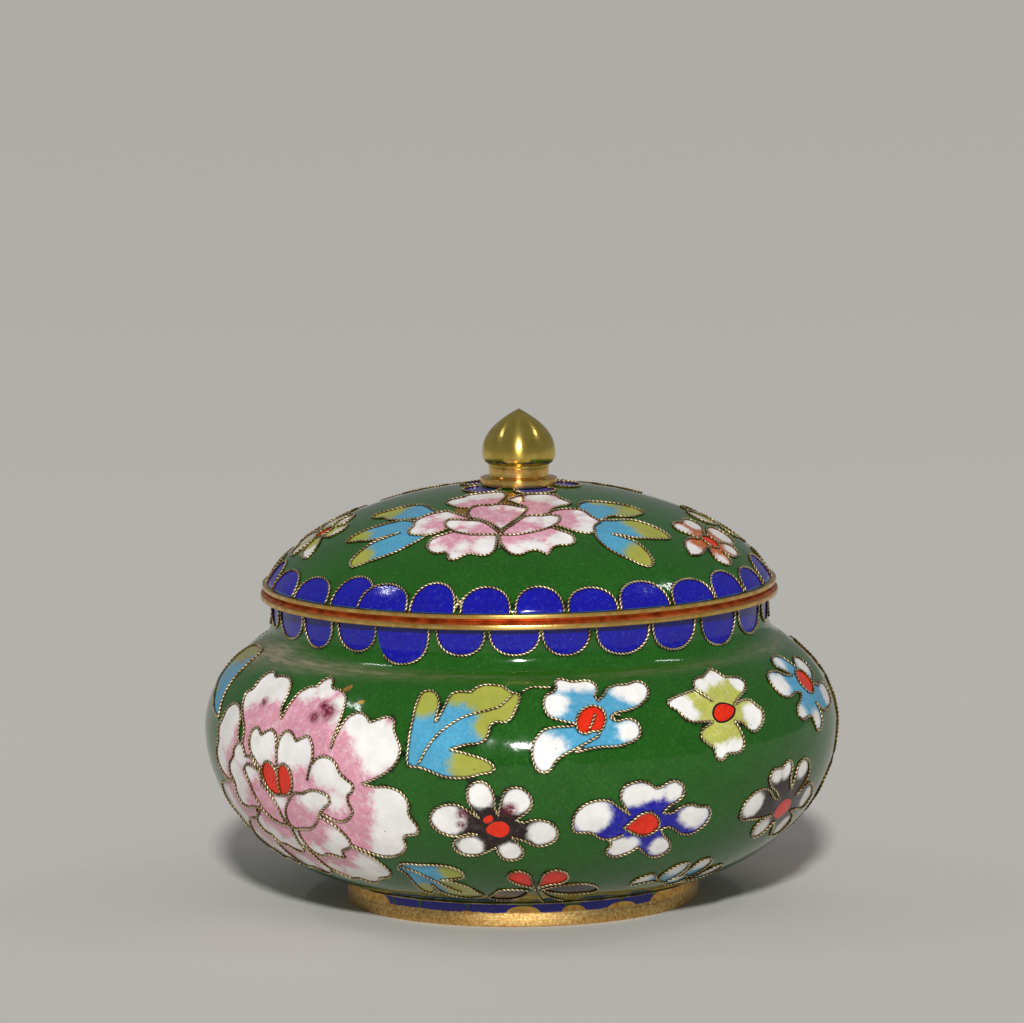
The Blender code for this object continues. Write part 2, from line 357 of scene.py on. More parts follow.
peony = {"cells": [
    ("pink", "white", [
        (-10, 4), (-10.5, 7), (-12, 8.5), (-14.5, 8.8), (-16.3, 7.8), (-17.3, 5.8), (-18.2, 4.5),
        (-18, 2.5), (-19.2, .8), (-19.3, -.8), (-18, -2.5), (-16.5, -3.3), (-13, -3.4), (-9, -1),
    ], [(-16, 5, 4), (-18, -.5, 2.6), (-13, 7.4, 2.6)]),
    ("pink", "white", [
        (-12, -3), (-15, -3.6), (-18, -4.4), (-20.6, -5.2), (-21.6, -7.4), (-20.6, -9.6), (-18.8, -10.6),
        (-18.4, -12.6), (-16, -13.4), (-13, -12.4), (-8, -9),
    ], [(-19.5, -7, 3), (-17, -11, 2.8)]),
    ("pink", "white", [
        (-14, -11), (-16.4, -13.6), (-17.6, -15.6), (-16.2, -17.6), (-13.8, -18), (-12, -19.4),
        (-9.6, -19.2), (-8, -20.2), (-6, -18.6), (-5, -14), (-8, -10),
    ], [(-15.5, -15.8, 2.6), (-10, -18.4, 2.8)]),
    ("pink", "white", [
        (-8.5, 2), (-8.5, 5.5), (-10, 7.3), (-11.5, 9.3), (-12, 11), (-10.6, 12), (-10.3, 14), (-9.3, 15.3),
        (-8, 15.7), (-6.5, 15), (-5, 15.4), (-3.2, 15.3), (-1.5, 14.2), (-.6, 12.5), (-.4, 10), (.4, 8.2),
        (1, 11), (1.6, 13), (3, 14.3), (4.3, 14.6), (4.6, 15.8), (5.6, 16.7), (6.6, 16), (7.4, 14.8),
        (9.4, 14.4), (11, 13.4), (12, 11.6), (12.5, 9), (12.2, 4.8), (12.9, 7.8), (13.6, 9.8), (15, 10.8),
        (16.6, 10.3), (17.9, 9.3), (19, 9.9), (20.5, 10.4), (21.7, 9.8), (22.4, 8.2), (23.4, 6.9),
        (24.3, 5.5), (24.1, 3.8), (22.9, 2.2), (20.8, .9), (18, -.3), (20.2, -.6), (22.2, -.5), (24, -1),
        (25, -2), (25.2, -3.4), (24.8, -4.7), (25.1, -5.9), (25.5, -7.1), (25.1, -8.1), (24.2, -8.6),
        (22.8, -8.8), (22.1, -9.6), (21.9, -10.8), (21.1, -11.8), (20.2, -12.6), (18.8, -13.3),
        (16.8, -13.7), (15, -13.3), (13.6, -12.6), (12, -11.8), (6, -8), (-4, -4),
    ], [
        (-8.6, 13, 3.6), (-4.6, 13.6, 3.2), (-10.6, 10, 1.8), (-1.8, 12.2, 1.4), (3.6, 13.4, 1.7),
        (6.6, 14.8, 2.2), (11, 12.2, 1.7), (12, 9.6, 1.3), (17.6, 8.6, 3.2), (21.4, 5.6, 3.8), (19, 6, 3),
        (15.2, 9.2, 2), (20.4, 3, 2.2), (22.8, -3.2, 3.6), (22.4, -6.6, 3.9), (20.2, -10, 3.8),
        (17.4, -12.6, 2.6),
    ]),
    ("gilt", "gilt", [(9.3, 13.9), (9.9, 15.4), (10.7, 15.9), (10.9, 15), (10, 14)], [], None),
    ("gilt", "gilt", [(13.6, 12.5), (14.3, 13.1), (15, 12.8), (14.4, 12.2)], [], None),
    ("pink", "white", [
        (-7.4, -13), (-7.2, -18), (-5.4, -20.4), (-3.2, -20.2), (-1.2, -21.4), (.6, -20.8), (1.6, -19),
        (1.4, -13),
    ], [(-4, -19.4, 2.4), (.2, -20, 1.8)]),
    ("pink", "white", [
        (.4, -13), (1, -15.5), (1.3, -18), (2.5, -20), (4.2, -21.9), (6.2, -21.4), (8, -22.5), (9.8, -21.6),
        (11, -20.4), (13.5, -19.4), (14.8, -17.8), (14.9, -16), (14, -13.8), (12.3, -12.4), (8, -11),
    ], [(6.4, -20.6, 2.6), (12, -17.4, 3.4), (9, -20, 2.4), (3, -19, 1.6)]),
    ("pink", "white", [
        (-6, 1.4), (-7.6, 1.4), (-8.5, 3), (-9.8, 3.2), (-11.2, 2.2), (-12, .7), (-13.5, -.5), (-13.9, -2),
        (-13, -3.5), (-13.4, -5.5), (-12.9, -7.2), (-11.2, -7.7), (-9, -7.3), (-6, -6.8), (-4, -4),
    ], [(-9.6, 1.4, 2.2), (-12.4, -1.6, 2.2), (-12.3, -6, 1.9), (-11.4, -3.4, 2.4)]),
    ("pink", "white", [
        (5, -2), (7.6, -.4), (8.2, 1.2), (9.2, 2.6), (10.5, 3.3), (12, 3.3), (13.3, 2.5), (14, 1.1),
        (15.1, .2), (16.2, -.6), (15.9, -1.7), (15, -2.4), (14.8, -3.8), (15.1, -5.1), (14.2, -6.2),
        (12.5, -7.1), (11, -7), (9.2, -6.2), (6, -6),
    ], [(11.4, 1.2, 3), (14.4, -1, 2.1), (12.6, -3.6, 1.6)]),
    ("pink", "white", [
        (-3, -6), (-6, -7), (-8, -8.5), (-9.8, -10), (-9.5, -12), (-7.5, -13), (-6.5, -14.5), (-5, -14.3),
        (-3.5, -15), (-1.5, -15.5), (-.3, -14), (.3, -11.5), (1, -8),
    ], [(-6.6, -12.6, 2), (-4, -14.4, 1.7), (-1.4, -14, 1.8), (-8.8, -10.8, 1.6)]),
    ("white", "white", [
        (.4, -9), (0, -11.5), (-.2, -13.6), (.9, -14), (1.8, -13.4), (1.4, -11.6), (2.4, -9),
    ], []),
    ("pink", "white", [
        (2, -9), (1.2, -11.8), (1.3, -13.5), (2, -15), (3.5, -15.5), (5, -14.7), (7, -15), (8.3, -15),
        (8.8, -13.5), (10.2, -12.8), (11.5, -12), (11.8, -10), (11, -8.5), (9.5, -7.3), (6, -6),
    ], [(3, -14.4, 1.5), (7.4, -13.2, 2), (10, -10.8, 2.3)]),
    ("pink", "white", [
        (4.6, -.4), (3.8, -3.2), (2.4, -4.6), (1.2, -6), (.5, -8.4), (-.3, -9.4), (-1.4, -5), (-4.4, -3),
        (-5, -.4), (0, 1),
    ], [(.2, -5, 1.4), (.2, -8, .8)], None),
    ("pink", "white", [
        (-3.6, -.6), (-4.6, -.3), (-6, .1), (-7.4, .1), (-8.3, -.5), (-7.5, -2.5), (-6.5, -5.5), (-5, -8),
        (-2.5, -9.3), (-.4, -9.5), (-.8, -8), (-1.2, -5.6), (-2.5, -3.6), (-4, -2.5),
    ], [(-7, -1, 1.7), (-5.4, -.4, 1.1)]),
    ("pink", "white", [
        (-2, -1), (-2.9, -.7), (-4.2, .6), (-6, 2.4), (-6.5, 4.2), (-6, 5.6), (-4.8, 6.2), (-3.4, 5.2),
        (-2.2, 5.9), (-1, 6.3), (.2, 5.6), (.7, 4), (1, 1), (1, -1),
    ], [(-4, 3.6, 3.1), (-1.4, 4.6, 2.2), (-1.6, 2.4, 1.6)]),
    ("pink", "white", [
        (2, -2.8), (.8, -1), (.9, 2), (1, 4), (1.5, 5.7), (2.8, 6.6), (4, 6.2), (5, 5.2), (6.2, 5.8),
        (7.2, 6.2), (8.3, 5.3), (8.8, 3.4), (8.2, 1.4), (7.4, -.7), (6.6, -3.4), (4, -4),
    ], [(3, 3.6, 3), (6.4, 3.6, 2.5)], ((7.4, -.7), (.8, -1))),
    ("pink", "white", [
        (3.9, -3.2), (6, -2.9), (8, -2.2), (9.8, -2.3), (11.2, -3), (11.1, -3.9), (10, -4.8), (8.5, -6),
        (7.3, -7.5), (5.5, -9), (3, -9.6), (.5, -9.6), (.2, -8), (1, -6), (2.3, -4.6),
    ], [(9.4, -3.4, 2.3), (6.8, -4, 2)]),
    ("red", "red", [
        (.7, -3.8), (-.4, -3.9), (-2, -3.2), (-2.9, -1.6), (-2.9, .2), (-1.9, 1.2), (-.6, 1.1), (.3, .4),
        (.8, -1),
    ], []),
    ("red", "red", [
        (.8, -3.9), (.8, -1), (1.2, .6), (2.2, 1.3), (3.4, 1), (4, -.2), (3.9, -1.9), (2.8, -3.3),
    ], []),
], "stains": [(9.4, 10.4, 2.1), (9.6, 10.9, 1.2), (7.2, 9.3, 1.5), (8, 11.4, 1.4), (-5.6, 10.4, 1.2)]}
leaf = {"cells": [
    ("turquoise", "leaf", [
        (-8.3, -6.6), (-8.6, -3), (-8.3, 0), (-7.8, 4), (-7.3, 5.5), (-6.5, 6), (-5.5, 5.9), (-4.9, 5.2),
        (-4.4, 4), (-4.4, 2.5), (-4.6, .3), (-4, 1.5), (-3.4, 3.2), (-2.3, 5.7), (-1.2, 6), (.3, 5.9),
        (1, 6.8), (2.2, 7.4), (3.8, 7.4), (5.2, 7), (6.2, 6.1), (7.9, 5.2), (7.9, 4.2), (7.5, 2.5),
        (6.9, 1), (6.3, .5), (4.6, .5), (4, 0), (3.8, -1.2), (3.4, -2.3), (2.5, -2.8), (.5, -3.1),
        (-2.1, -3.9), (0, -4.3), (1.5, -4.7), (3, -5.2), (4.3, -5.9), (4.9, -6.7), (4.3, -7.2), (2.8, -7.5),
        (1, -8), (-1, -8.2), (-3, -8), (-5, -7.3), (-6.8, -6.7),
    ], [
        (-6.6, 4.6, 3.4), (-2, 6.6, 3.2), (1.6, 6, 3.2), (5, 4, 4.2), (3.6, 0, 2.2), (1, -6.4, 3),
        (4, -6.6, 2),
    ]),
], "lines": [
    [(-7, -6.2), (-4.8, -2.5), (-2, .2), (-.3, 1.3), (1.5, 2), (3.5, 2.6), (5, 3.2), (6, 4.3), (6.6, 5.3)],
]}
flowerA = {"cells": [
    ("turquoise", "white", [
        (-3.3, -.4), (-5.5, .3), (-6.6, .8), (-7.1, 2), (-7, 3.6), (-6.3, 4.8), (-5.2, 5.3), (-4.6, 6.2),
        (-4.6, 7.3), (-4, 7.9), (-2, 7.3), (.8, 7.2), (1.6, 6.3), (1.5, 5), (.9, 4.2), (1.3, 3.2),
        (2.6, 4.5), (3.3, 5.5), (4.5, 6), (6.5, 6.1), (8.3, 6.5), (9.3, 6), (9.8, 5), (9.5, 3.6),
        (8.7, 2.6), (7.5, 1.8), (5.5, 1.2), (3.6, .9), (2.7, .2), (3.3, -.3), (6, -.3), (7, -1), (7.3, -2),
        (6.9, -3.2), (5.8, -3.8), (4.5, -4.2), (0, -4.4), (-3.4, -5), (-1, -3.4), (.5, -2.6), (1, -1),
    ], [
        (-5.4, 3.1, 2.1), (-3.4, 7, 1.8), (-1, 7, 1.8), (.8, 6.6, 1.5), (5.2, 5, 1.5), (7.4, 4.6, 2.5),
        (9, 4.6, 1.6), (5.6, -2.1, 1.8),
    ]),
    ("turquoise", "white", [
        (1.2, -1.4), (.5, -2.6), (-1, -3.4), (-4, -4.8), (-5.5, -5.6), (-6.5, -6.5), (-7, -7.3), (-8, -7.9),
        (-9, -7.6), (-9.7, -6.5), (-9.9, -5), (-9.6, -3.5), (-8.8, -2.3), (-7.8, -1.4), (-6.2, -1),
        (-3.4, -.9), (-1.5, -.6),
    ], [(-8.2, -4.4, 2.7), (-8, -6.4, 1.9), (-6.2, -4, 1.5)]),
    ("red", "red", [
        (-2.7, -.8), (-2.3, .6), (-1.2, 1.9), (.3, 2.4), (1.6, 1.8), (2, .7), (1.7, -.8), (1, -1.8),
        (-.5, -1.9), (-1.5, -2.2), (-2.4, -1.8),
    ], []),
], "lines": [
    [(.5, 1), (0, -.2), (-.8, -1.5)],
    [(4.4, .4), (3.4, .7), (2.9, .2), (3.6, -.1)],
    [(-9.9, 5.5), (-8.4, 6.3), (-6.8, 6.3), (-5.4, 6.2)],
]}
flowerB = {"cells": [
    ("lemon", "white", [
        (-2.9, 3.6), (-4.2, 3.5), (-5.5, 3.2), (-7.5, 2.7), (-8.9, 2), (-8.9, 1.4), (-7.9, .4), (-7.2, -.8),
        (-6.2, -1.6), (-4.5, -1.8), (-2.3, -2), (-3.5, -2.5), (-4.9, -3.2), (-5.2, -4.3), (-4.3, -5.2),
        (-3.3, -6), (-2.8, -7.6), (-1.7, -8), (-.5, -7.2), (1, -7.3), (2.6, -6.8), (3, -5.5), (2.6, -4),
        (1.9, -2.4), (3.5, -3), (4.5, -4.1), (5.6, -4.5), (7, -4), (8.3, -2.8), (8.6, -1.5), (7.5, -.3),
        (6.8, .5), (5, .7), (3, .2), (4.5, 1.2), (6, 1.9), (7.2, 2.7), (7.7, 3.8), (7, 4.6), (5.5, 5.1),
        (4.1, 5.4), (3.3, 6.7), (2.4, 7.3), (1.3, 6.7), (0, 6), (-1.5, 5.8), (-2.5, 5), (-2.8, 3.9),
        (-1, 1.5),
    ], [
        (-7, 1.2, 2.3), (-5.8, -.2, 1.5), (-1.2, 4.8, 1.4), (1.4, 5.6, 1.6), (3, 6, 1.4), (6.4, 3.9, 1.7),
        (6.4, -2, 2.1), (5.6, -3.6, 1.1), (-1.6, -6.9, 1.5), (.8, -6.5, 1.5), (2.2, -6.2, 1),
    ]),
    ("maroon", "maroon", [
        (-2, -1.4), (-1.3, .2), (-.1, .9), (1.3, .9), (3.1, -.4), (2.2, -1.6), (.9, -2.2), (-.4, -2.4),
        (-1.6, -2.1),
    ], [], None),
    ("red", "red", [
        (-1.6, -1.4), (-1, 0), (0, .6), (1.2, .6), (2.7, -.4), (2, -1.3), (.8, -1.9), (-.3, -2.1),
        (-1.2, -1.9),
    ], [], None),
], "lines": [[(-3.2, 3.9), (-2, 2.6), (-.8, 1.3)]]}
flowerC = {"cells": [
    ("turquoise", "white", [
        (-1.8, 2.2), (-4, 2.6), (-5.5, 3.6), (-7.5, 3.9), (-9.2, 3), (-9.8, 1.2), (-9, -.5), (-7, -1),
        (-4.5, -.6), (-3, -1), (-5, -2.2), (-6.6, -3), (-7.2, -4), (-6, -5), (-4.2, -4.8), (-2.8, -4.8),
        (-2.4, -6), (-1.6, -7.3), (-.3, -7.4), (.9, -6.5), (1.2, -5.2), (.7, -3.2), (2.5, -4.6), (4.5, -5),
        (6.5, -4.9), (9, -4.5), (10, -3), (9.6, -1.5), (7.8, -.9), (5.5, -1), (3.8, -.3), (5, .2), (6.8, 1),
        (7.6, 2.6), (7, 4), (5.4, 4.7), (3.4, 4.3), (1.8, 3.1), (1, 4.6), (.2, 5.8), (-1.5, 6.3),
        (-3.4, 5.9), (-4.4, 4.6), (-3.2, 3.4),
    ], [
        (-7.4, 1.4, 2.3), (-1.8, 5.1, 1.3), (5.4, 2.8, 1.9), (7.8, -2.8, 2), (-5.4, -3.9, 1.4),
        (-.9, -5.9, 1.6),
    ]),
    ("red", "red", [
        (-1.3, .4), (-.6, 2), (1, 2.7), (2.8, 2.2), (3.6, .8), (3, -.8), (1.4, -1.6), (-.4, -1.1),
    ], []),
]}
flowerD = {"cells": [
    ("maroon", "white", [
        (-2.8, -1.1), (-4.2, -.9), (-6, -1.5), (-8, -1.2), (-9.6, 0), (-10.2, 1.5), (-9.3, 3.2),
        (-7.2, 4.1), (-5.4, 3.9), (-4.3, 3.2), (-2.5, 1.9), (-3.4, 3.2), (-4.2, 5), (-4, 6.8), (-3, 7.7),
        (-1.8, 7.8), (-.7, 7), (-.1, 5.3), (0, 3.5), (.4, 2.3), (.9, 4.6), (1.7, 6.4), (3, 6.9), (4.5, 6.5),
        (5.5, 5.3), (5.5, 3.8), (4.5, 2.6), (3, 1.5), (4.3, 1.1), (5.5, 1.5), (7, 1.4), (8.5, .8),
        (9.3, -.7), (8.9, -2.3), (7.5, -3.3), (5.8, -3.4), (4.6, -2.6), (2.2, -1.5), (3.3, -3), (3.9, -4.2),
        (3.6, -5.7), (2.2, -6.5), (.7, -6.1), (.1, -5), (-.2, -3.6), (-1.8, -4.7), (-3, -5.3), (-4.8, -5.4),
        (-6.3, -4.5), (-6.8, -3.2), (-6, -1.9), (-4.2, -1.4),
    ], [(-7.4, 1.4, 2.6), (-2.2, 5.6, 2), (3.4, 4.7, 2), (7, -1, 2.2), (2, -4.6, 1.8), (-4.1, -3.6, 2)]),
    ("red", "red", [
        (-1.6, -.4), (-1, .6), (.2, 1.2), (1.4, 1), (2, .2), (1.8, -.9), (.9, -1.7), (-.4, -1.5),
    ], [], None),
    ("red", "red", [(-2, 1.4), (-1.5, 2), (-.6, 2.3), (-.4, 1.5), (-.9, 1), (-1.6, .9)], [], None),
], "stains": [(2.2, 3.4, 1.5), (-5.2, 2.4, 1.2), (-5.4, .6, 1)]}
flowerE = {"cells": [
    ("blue", "white", [
        (-2.6, 1.6), (-4.5, 3), (-6, 4.1), (-8, 4.4), (-10, 3.8), (-11.3, 2.4), (-11.5, .5), (-10.9, -.9),
        (-9.5, -1.1), (-8, -1.4), (-6.8, -2.3), (-5.3, -2.7), (-3, -2), (-5.2, -3), (-4.6, -3.8),
        (-5.1, -4.9), (-4.7, -6), (-3.3, -6.6), (-1.8, -6.2), (0, -4.8), (.9, -5.8), (1.9, -6.8),
        (3.3, -7.5), (5, -7), (5.7, -5.8), (5.3, -4.4), (4, -3), (3, -1.6), (4.2, -1.2), (5.3, -1.7),
        (7, -2.9), (8.8, -3.1), (10.3, -2.4), (11.4, -1), (11.7, .5), (11, 1.6), (9.3, 1.9), (7.8, 2.4),
        (6, 2.2), (4.5, 1.3), (2.8, 1.5), (4.2, 2.8), (5.2, 3.2), (6.1, 4.2), (6, 5.6), (4.8, 6.5),
        (3.2, 6.4), (2.3, 5.9), (1.2, 5.8), (.2, 6.5), (-1.2, 7), (-2.8, 6.8), (-4.1, 6.2), (-4.5, 4.8),
        (-3.6, 3),
    ], [
        (-8.6, 1.6, 2.9), (-2.2, 4.9, 1.9), (-.2, 5.2, 1.6), (4.4, 4.9, 1.6), (1.8, 4.8, 1.2),
        (9.2, 0, 2.1), (7.6, .6, 1.6), (3.9, -5.2, 1.9), (-3.2, -4.6, 2), (-1.6, -4.4, 1.6),
    ]),
    ("red", "red", [
        (-3.3, -.7), (-2, .6), (-.7, 1.6), (.5, 1.8), (1.7, 1.2), (2.5, 0), (2.6, -1.2), (1.5, -2.2),
        (.2, -2.5), (-1.2, -2), (-2.4, -1.3),
    ], []),
]}
flowerF = {"cells": [
    ("maroon", "white", [
        (-2.4, .4), (-4.5, 1.2), (-6, 2.5), (-8, 3.1), (-10, 2.6), (-11.4, 1.2), (-11.5, -.5),
        (-10.6, -1.9), (-8.5, -2.2), (-5, -2.4), (-2.6, -2.4), (-5, -3), (-5.8, -4.5), (-4.8, -6),
        (-3, -6.8), (-1.5, -5.8), (-.4, -4), (.8, -5.5), (2, -7.3), (4.5, -8), (6.8, -7.2), (7.4, -5.6),
        (6, -4), (3.8, -2.7), (5.5, -2.7), (8, -3.2), (10.5, -3.2), (11.5, -2), (10.5, -.3), (8.5, 1.3),
        (6.5, 1.8), (5, 1.3), (3.2, .3), (4.3, 1.4), (5.3, 2.7), (5.4, 4.4), (4.3, 5.9), (2.5, 6.5),
        (1, 5.7), (.5, 4), (.3, 1.8), (-.3, 2.8), (-.9, 4.3), (-1, 6), (-1.9, 6.9), (-3, 6.7), (-3.7, 5.9),
        (-5, 6), (-6.3, 5.9), (-6.9, 4.8), (-6, 3.3), (-4, 2),
    ], [
        (-9, .5, 2.2), (-4.8, 4.9, 1.3), (-2.3, 5.4, 1.4), (3, 4.6, 1.5), (8.8, -1, 2), (4.8, -6, 1.8),
        (-3.2, -4.7, 1.7),
    ]),
    ("red", "red", [
        (-1.6, -2.4), (-1.4, -1), (-.2, -.2), (1.4, -.2), (2.8, -1), (3, -2.3), (2, -3.5), (.4, -3.7),
    ], [], None),
]}
leafG = {"cells": [
    ("turquoise", "leaf", [
        (-4.8, 4.4), (-1, 4.9), (1.5, 5), (3.8, 4.6), (5.3, 3.2), (5, 1.8), (3.5, 1.2), (1, .7), (3, .2),
        (4.5, -1), (5.5, -3), (6, -5.5), (4.5, -6.5), (1.5, -6.2), (0, -4.5), (-.9, -1), (-1.5, -4),
        (-2.3, -5.3), (-3.3, -4), (-3.7, -2), (-4.2, 2), (-5.1, 3.8),
    ], [(4, 3.2, 2.8), (3.4, -3.6, 3.6), (-2.5, -3.4, 2.4), (1.6, -1.4, 1.6)]),
], "lines": [[(-4.5, 4.2), (-2, 2.6), (.3, 0), (2, -2.5), (3, -4)]]}
butterfly = {"cells": [
    ("maroon", "maroon", [
        (-1.4, -.9), (-3.5, -.4), (-5.8, -.7), (-6.6, -2.5), (-7.2, -4.5), (-6.2, -5.4), (-3.6, -5.4),
        (-2, -3.4),
    ], []),
    ("maroon", "maroon", [
        (.6, -.5), (3, .7), (5, 1.1), (7.5, 1), (9, 0), (9.6, -1.4), (8.8, -2.8), (7, -3.1), (4.5, -3),
        (2.3, -1.9),
    ], []),
    ("red", "red", [
        (-.6, .3), (-1.8, .9), (-3.8, 2.4), (-4.7, 3.8), (-4.3, 5.2), (-3, 5.7), (-1.6, 4.9), (-.9, 2.6),
    ], []),
    ("red", "red", [
        (.1, .2), (1.6, 1.2), (3.6, 1.7), (4.6, 3.2), (4.2, 5), (2.7, 5.8), (1.1, 5), (.4, 2.6),
    ], []),
], "lines": [[(-.4, -.2), (.1, -2.6), (.7, -5.6), (1.4, -8)], [(.6, -1.2), (2, -4.2), (4.4, -7.4)]]}
spray = {"cells": [
    ("turquoise", "white", [
        (-2.4, -3.4), (-4.4, -2.4), (-6, -2.6), (-7.6, -3.2), (-8.2, -1.8), (-7.4, 0), (-6, .6), (-5, -.4),
        (-4.2, -1.4),
    ], [(-6.6, -1.2, 1.9)]),
    ("turquoise", "white", [
        (-1, -4), (-2.8, -2.6), (-3.9, -.6), (-3.4, 1.4), (-2, 2.6), (-.4, 2.6), (.2, 1), (-.2, -1.6),
    ], [(-1.8, .9, 2)]),
    ("turquoise", "white", [
        (1, -4), (.9, -1.4), (1.2, 1.2), (2, 2.8), (3.6, 3), (4.8, 1.8), (4.8, 0), (3.6, -2.2),
    ], [(3.1, 1.5, 1.8)]),
    ("turquoise", "white", [
        (2.6, -5), (4.6, -3.6), (6, -1.6), (7.8, -.2), (9.4, -.6), (9.8, -2.2), (8.4, -3.8), (5.6, -5),
    ], [(8.2, -1.8, 1.8)]),
    ("turquoise", "white", [
        (-.2, -5), (-1, -3.6), (.2, -2), (1.8, -1.8), (2.8, -3.2), (2, -5),
    ], [(1, -3, 1.3)]),
]}
leafJ = {"cells": [
    ("leaf", "turquoise", [
        (3, 5), (3.4, 2), (3.6, -2), (6, -7.5), (3, -7), (-1, -5.4), (-4, -4), (-8, -2.4), (-10, 0),
        (-8.6, 3), (-5, 5), (-1, 5.6),
    ], [
        (1.4, 1.2, 2.8), (2, -1.8, 2.8), (3.2, -4.6, 2.8), (-1.6, -.8, 2.8), (-4.6, -1.4, 2.4),
        (4.6, -6.6, 1.8), (.4, -3.4, 2.6), (-7.4, -1, 2),
    ]),
]}


def placed(place, spots):  # points with a reach each, at their place in the pattern
    return [(*place(np.array([[x, y]]))[0], reach) for x, y, reach in spots]


def gathered(place, motif, swaps=None):  # a motif's cells in the flat pattern they belong to
    cells = []
    for main, second, outline, spots, *ends in motif["cells"]:
        line = bentLine(outline, True)
        if not ends:
            wired = [(place(line), True)]
        elif ends[0] is None:
            wired = []
        else:
            first, last = (int(np.argmin(((line - end) ** 2).sum(1))) for end in ends[0])
            wired = [(place(np.roll(line, -first, 0)[:(last - first) % len(line) + 1]), False)]
        main, second = (swaps or {}).get(main, main), (swaps or {}).get(second, second)
        cells.append({"main": main, "second": second, "line": place(line), "spots": placed(place, spots),
                      "wires": wired})
    for outline in motif.get("lines", ()):
        cells[-1]["wires"].append((place(bentLine(outline, False)), False))
    return cells, placed(place, motif.get("stains", ()))


# Twisted gilt wire

wires = {
    "samples": 0.172, "toTwist": 4,  # mm between samples, and samples to each bead of the twist
    "wide": 0.23, "narrow": 0.125, "sides": 8,  # half widths of the two strands together
    "proud": 0.06,  # how far the wire's middle stands above the enamel
    "endTaper": 0.6,
    "polished": 0.25,  # painted highlight: the tops of the strands are painted lighter, partly for polish wear and partly for the light falling from above
    "hiddenWithin": 0.05,  # a wire this near a later cell's edge is hidden, in square mm
    "margin": 0.3, "shortest": 4,  # round a cell's box, in mm, and the fewest samples in a run
}


def ropeMesh(name, runs, place):  # closed twisted tubes along the runs
    sides = wires["sides"]
    lobes = np.arange(sides)
    middle = (wires["wide"] + wires["narrow"]) / 2
    reach = np.select([lobes % 4 == 0, lobes % 4 == 2], [wires["wide"], wires["narrow"]], middle)
    verts, faces, crestAndPaintedHighlight, base = [], [], [], 0
    for line in runs:
        points, normals = place(line, wires["proud"])
        count = len(points)
        along = np.gradient(points, axis=0)
        along /= np.linalg.norm(along, axis=1)[:, None]
        side = np.cross(along, normals)
        side /= np.linalg.norm(side, axis=1)[:, None]
        up = np.cross(side, along)
        turns = np.arange(count)[::-1] * math.pi / wires["toTwist"]
        twist = (lobes * math.tau / sides)[None, :] + turns[:, None]
        size = np.tile(reach * mm, (count, 1))
        size[[0, -1]] *= wires["endTaper"]
        across, above = (np.cos(twist) * size)[..., None], (np.sin(twist) * size)[..., None]
        verts.append((points[:, None] + side[:, None] * across + up[:, None] * above).reshape(-1, 3))
        # painted highlight: the upper side of each strand is made lighter, as light from above would show
        # it
        top = np.clip(wires["polished"] + np.sin(twist), 0, 1)
        crestAndPaintedHighlight.append(((reach - wires["narrow"]) / (wires["wide"] - wires["narrow"]) * top).ravel())
        start = base + np.arange(count - 1)[:, None] * sides
        after = (lobes + 1) % sides
        quads = np.stack([start + lobes, start + after, start + sides + after, start + sides + lobes], -1)
        faces += quads.reshape(-1, 4).tolist()
        faces.append([base + i for i in range(sides)][::-1])
        faces.append([base + (count - 1) * sides + i for i in range(sides)])
        base += count * sides
    piece = meshPiece(name, np.vstack(verts), faces)
    paint(piece, "crestAndPaintedHighlight", np.concatenate(crestAndPaintedHighlight))
    outward(piece)
    piece.data.shade_smooth()
    length = round(sum(len(r) for r in runs) * wires["samples"])
    print(name, triangles(piece), "triangles,", length, "mm of wire")
    return piece


def visibleRuns(cells):  # the parts of every wire that no later cell covers
    boxes = [(c["line"].min(0) - wires["margin"], c["line"].max(0) + wires["margin"]) for c in cells]
    runs = []
    for order, cell in enumerate(cells):
        for line, closed in cell["wires"]:
            hidden = np.zeros(len(line), bool)
            for j in range(order + 1, len(cells)):
                if (boxes[j][0] > line.max(0)).any() or (boxes[j][1] < line.min(0)).any():
                    continue
                other = cells[j]["line"]
                apart = ((line[:, None] - other[None, ::2]) ** 2).sum(-1).min(1)
                within = wires["hiddenWithin"] if cells[j]["wires"] else 0
                hidden |= insideOf(line, other) | (apart < within)
            if closed and not hidden.any():
                runs.append(np.vstack([line, line[:3]]))
                continue
            if closed:
                start = int(np.argmax(hidden))
                line, hidden = np.roll(line, -start, 0), np.roll(hidden, -start)
            shown = np.flatnonzero(~hidden)
            for group in np.split(shown, np.flatnonzero(np.diff(shown) > 1) + 1):
                if len(group) > wires["shortest"]:
                    runs.append(line[max(group[0] - 1, 0):group[-1] + 2])
    return runs


# The enamelled skin

skin = {
    "fine": 0.48, "coarse": 0.95,  # mm between points inside a motif and in the open ground
    "rowStep": 0.866, "jitter": 0.1,  # as shares of that
    "edge": 0.44,  # mm between points along a cell's edge
    "marks": 0.22, "clear": 0.27,  # no other point lies this near to a mark on an edge
    "dip": 0.08, "dipReach": 0.9,  # a field sinks away from its wires
    "waxReach": 0.3,  # wax and oxide lie this near to the wires
    "rows": 90,  # points down each side of the wall's pattern
    "inset": 0.03,  # the rows of tongues stop this short of the pattern's edge
}


def distances(marks, points):  # from each point to the nearest mark
    tree = KDTree(len(marks))
    for i, (x, y) in enumerate(marks):
        tree.insert((x, y, 0), i)
    tree.balance()
    return np.array([tree.find((x, y, 0))[2] for x, y in points])


def triangularGrid(border, step):
    (x0, y0), (x1, y1) = border.min(0), border.max(0)
    jitter, grid = skin["jitter"], []
    for row, y in enumerate(np.arange(y0 + step / 2, y1, step * skin["rowStep"])):
        for x in np.arange(x0 + step / 4, x1 - step / 4, step):
            aside = (row % 2) * step / 2 + wobble.uniform(-jitter, jitter) * step
            grid.append((x + aside, y + wobble.uniform(-jitter, jitter) * step))
    grid = np.array(grid)
    return grid[insideOf(grid, border)]


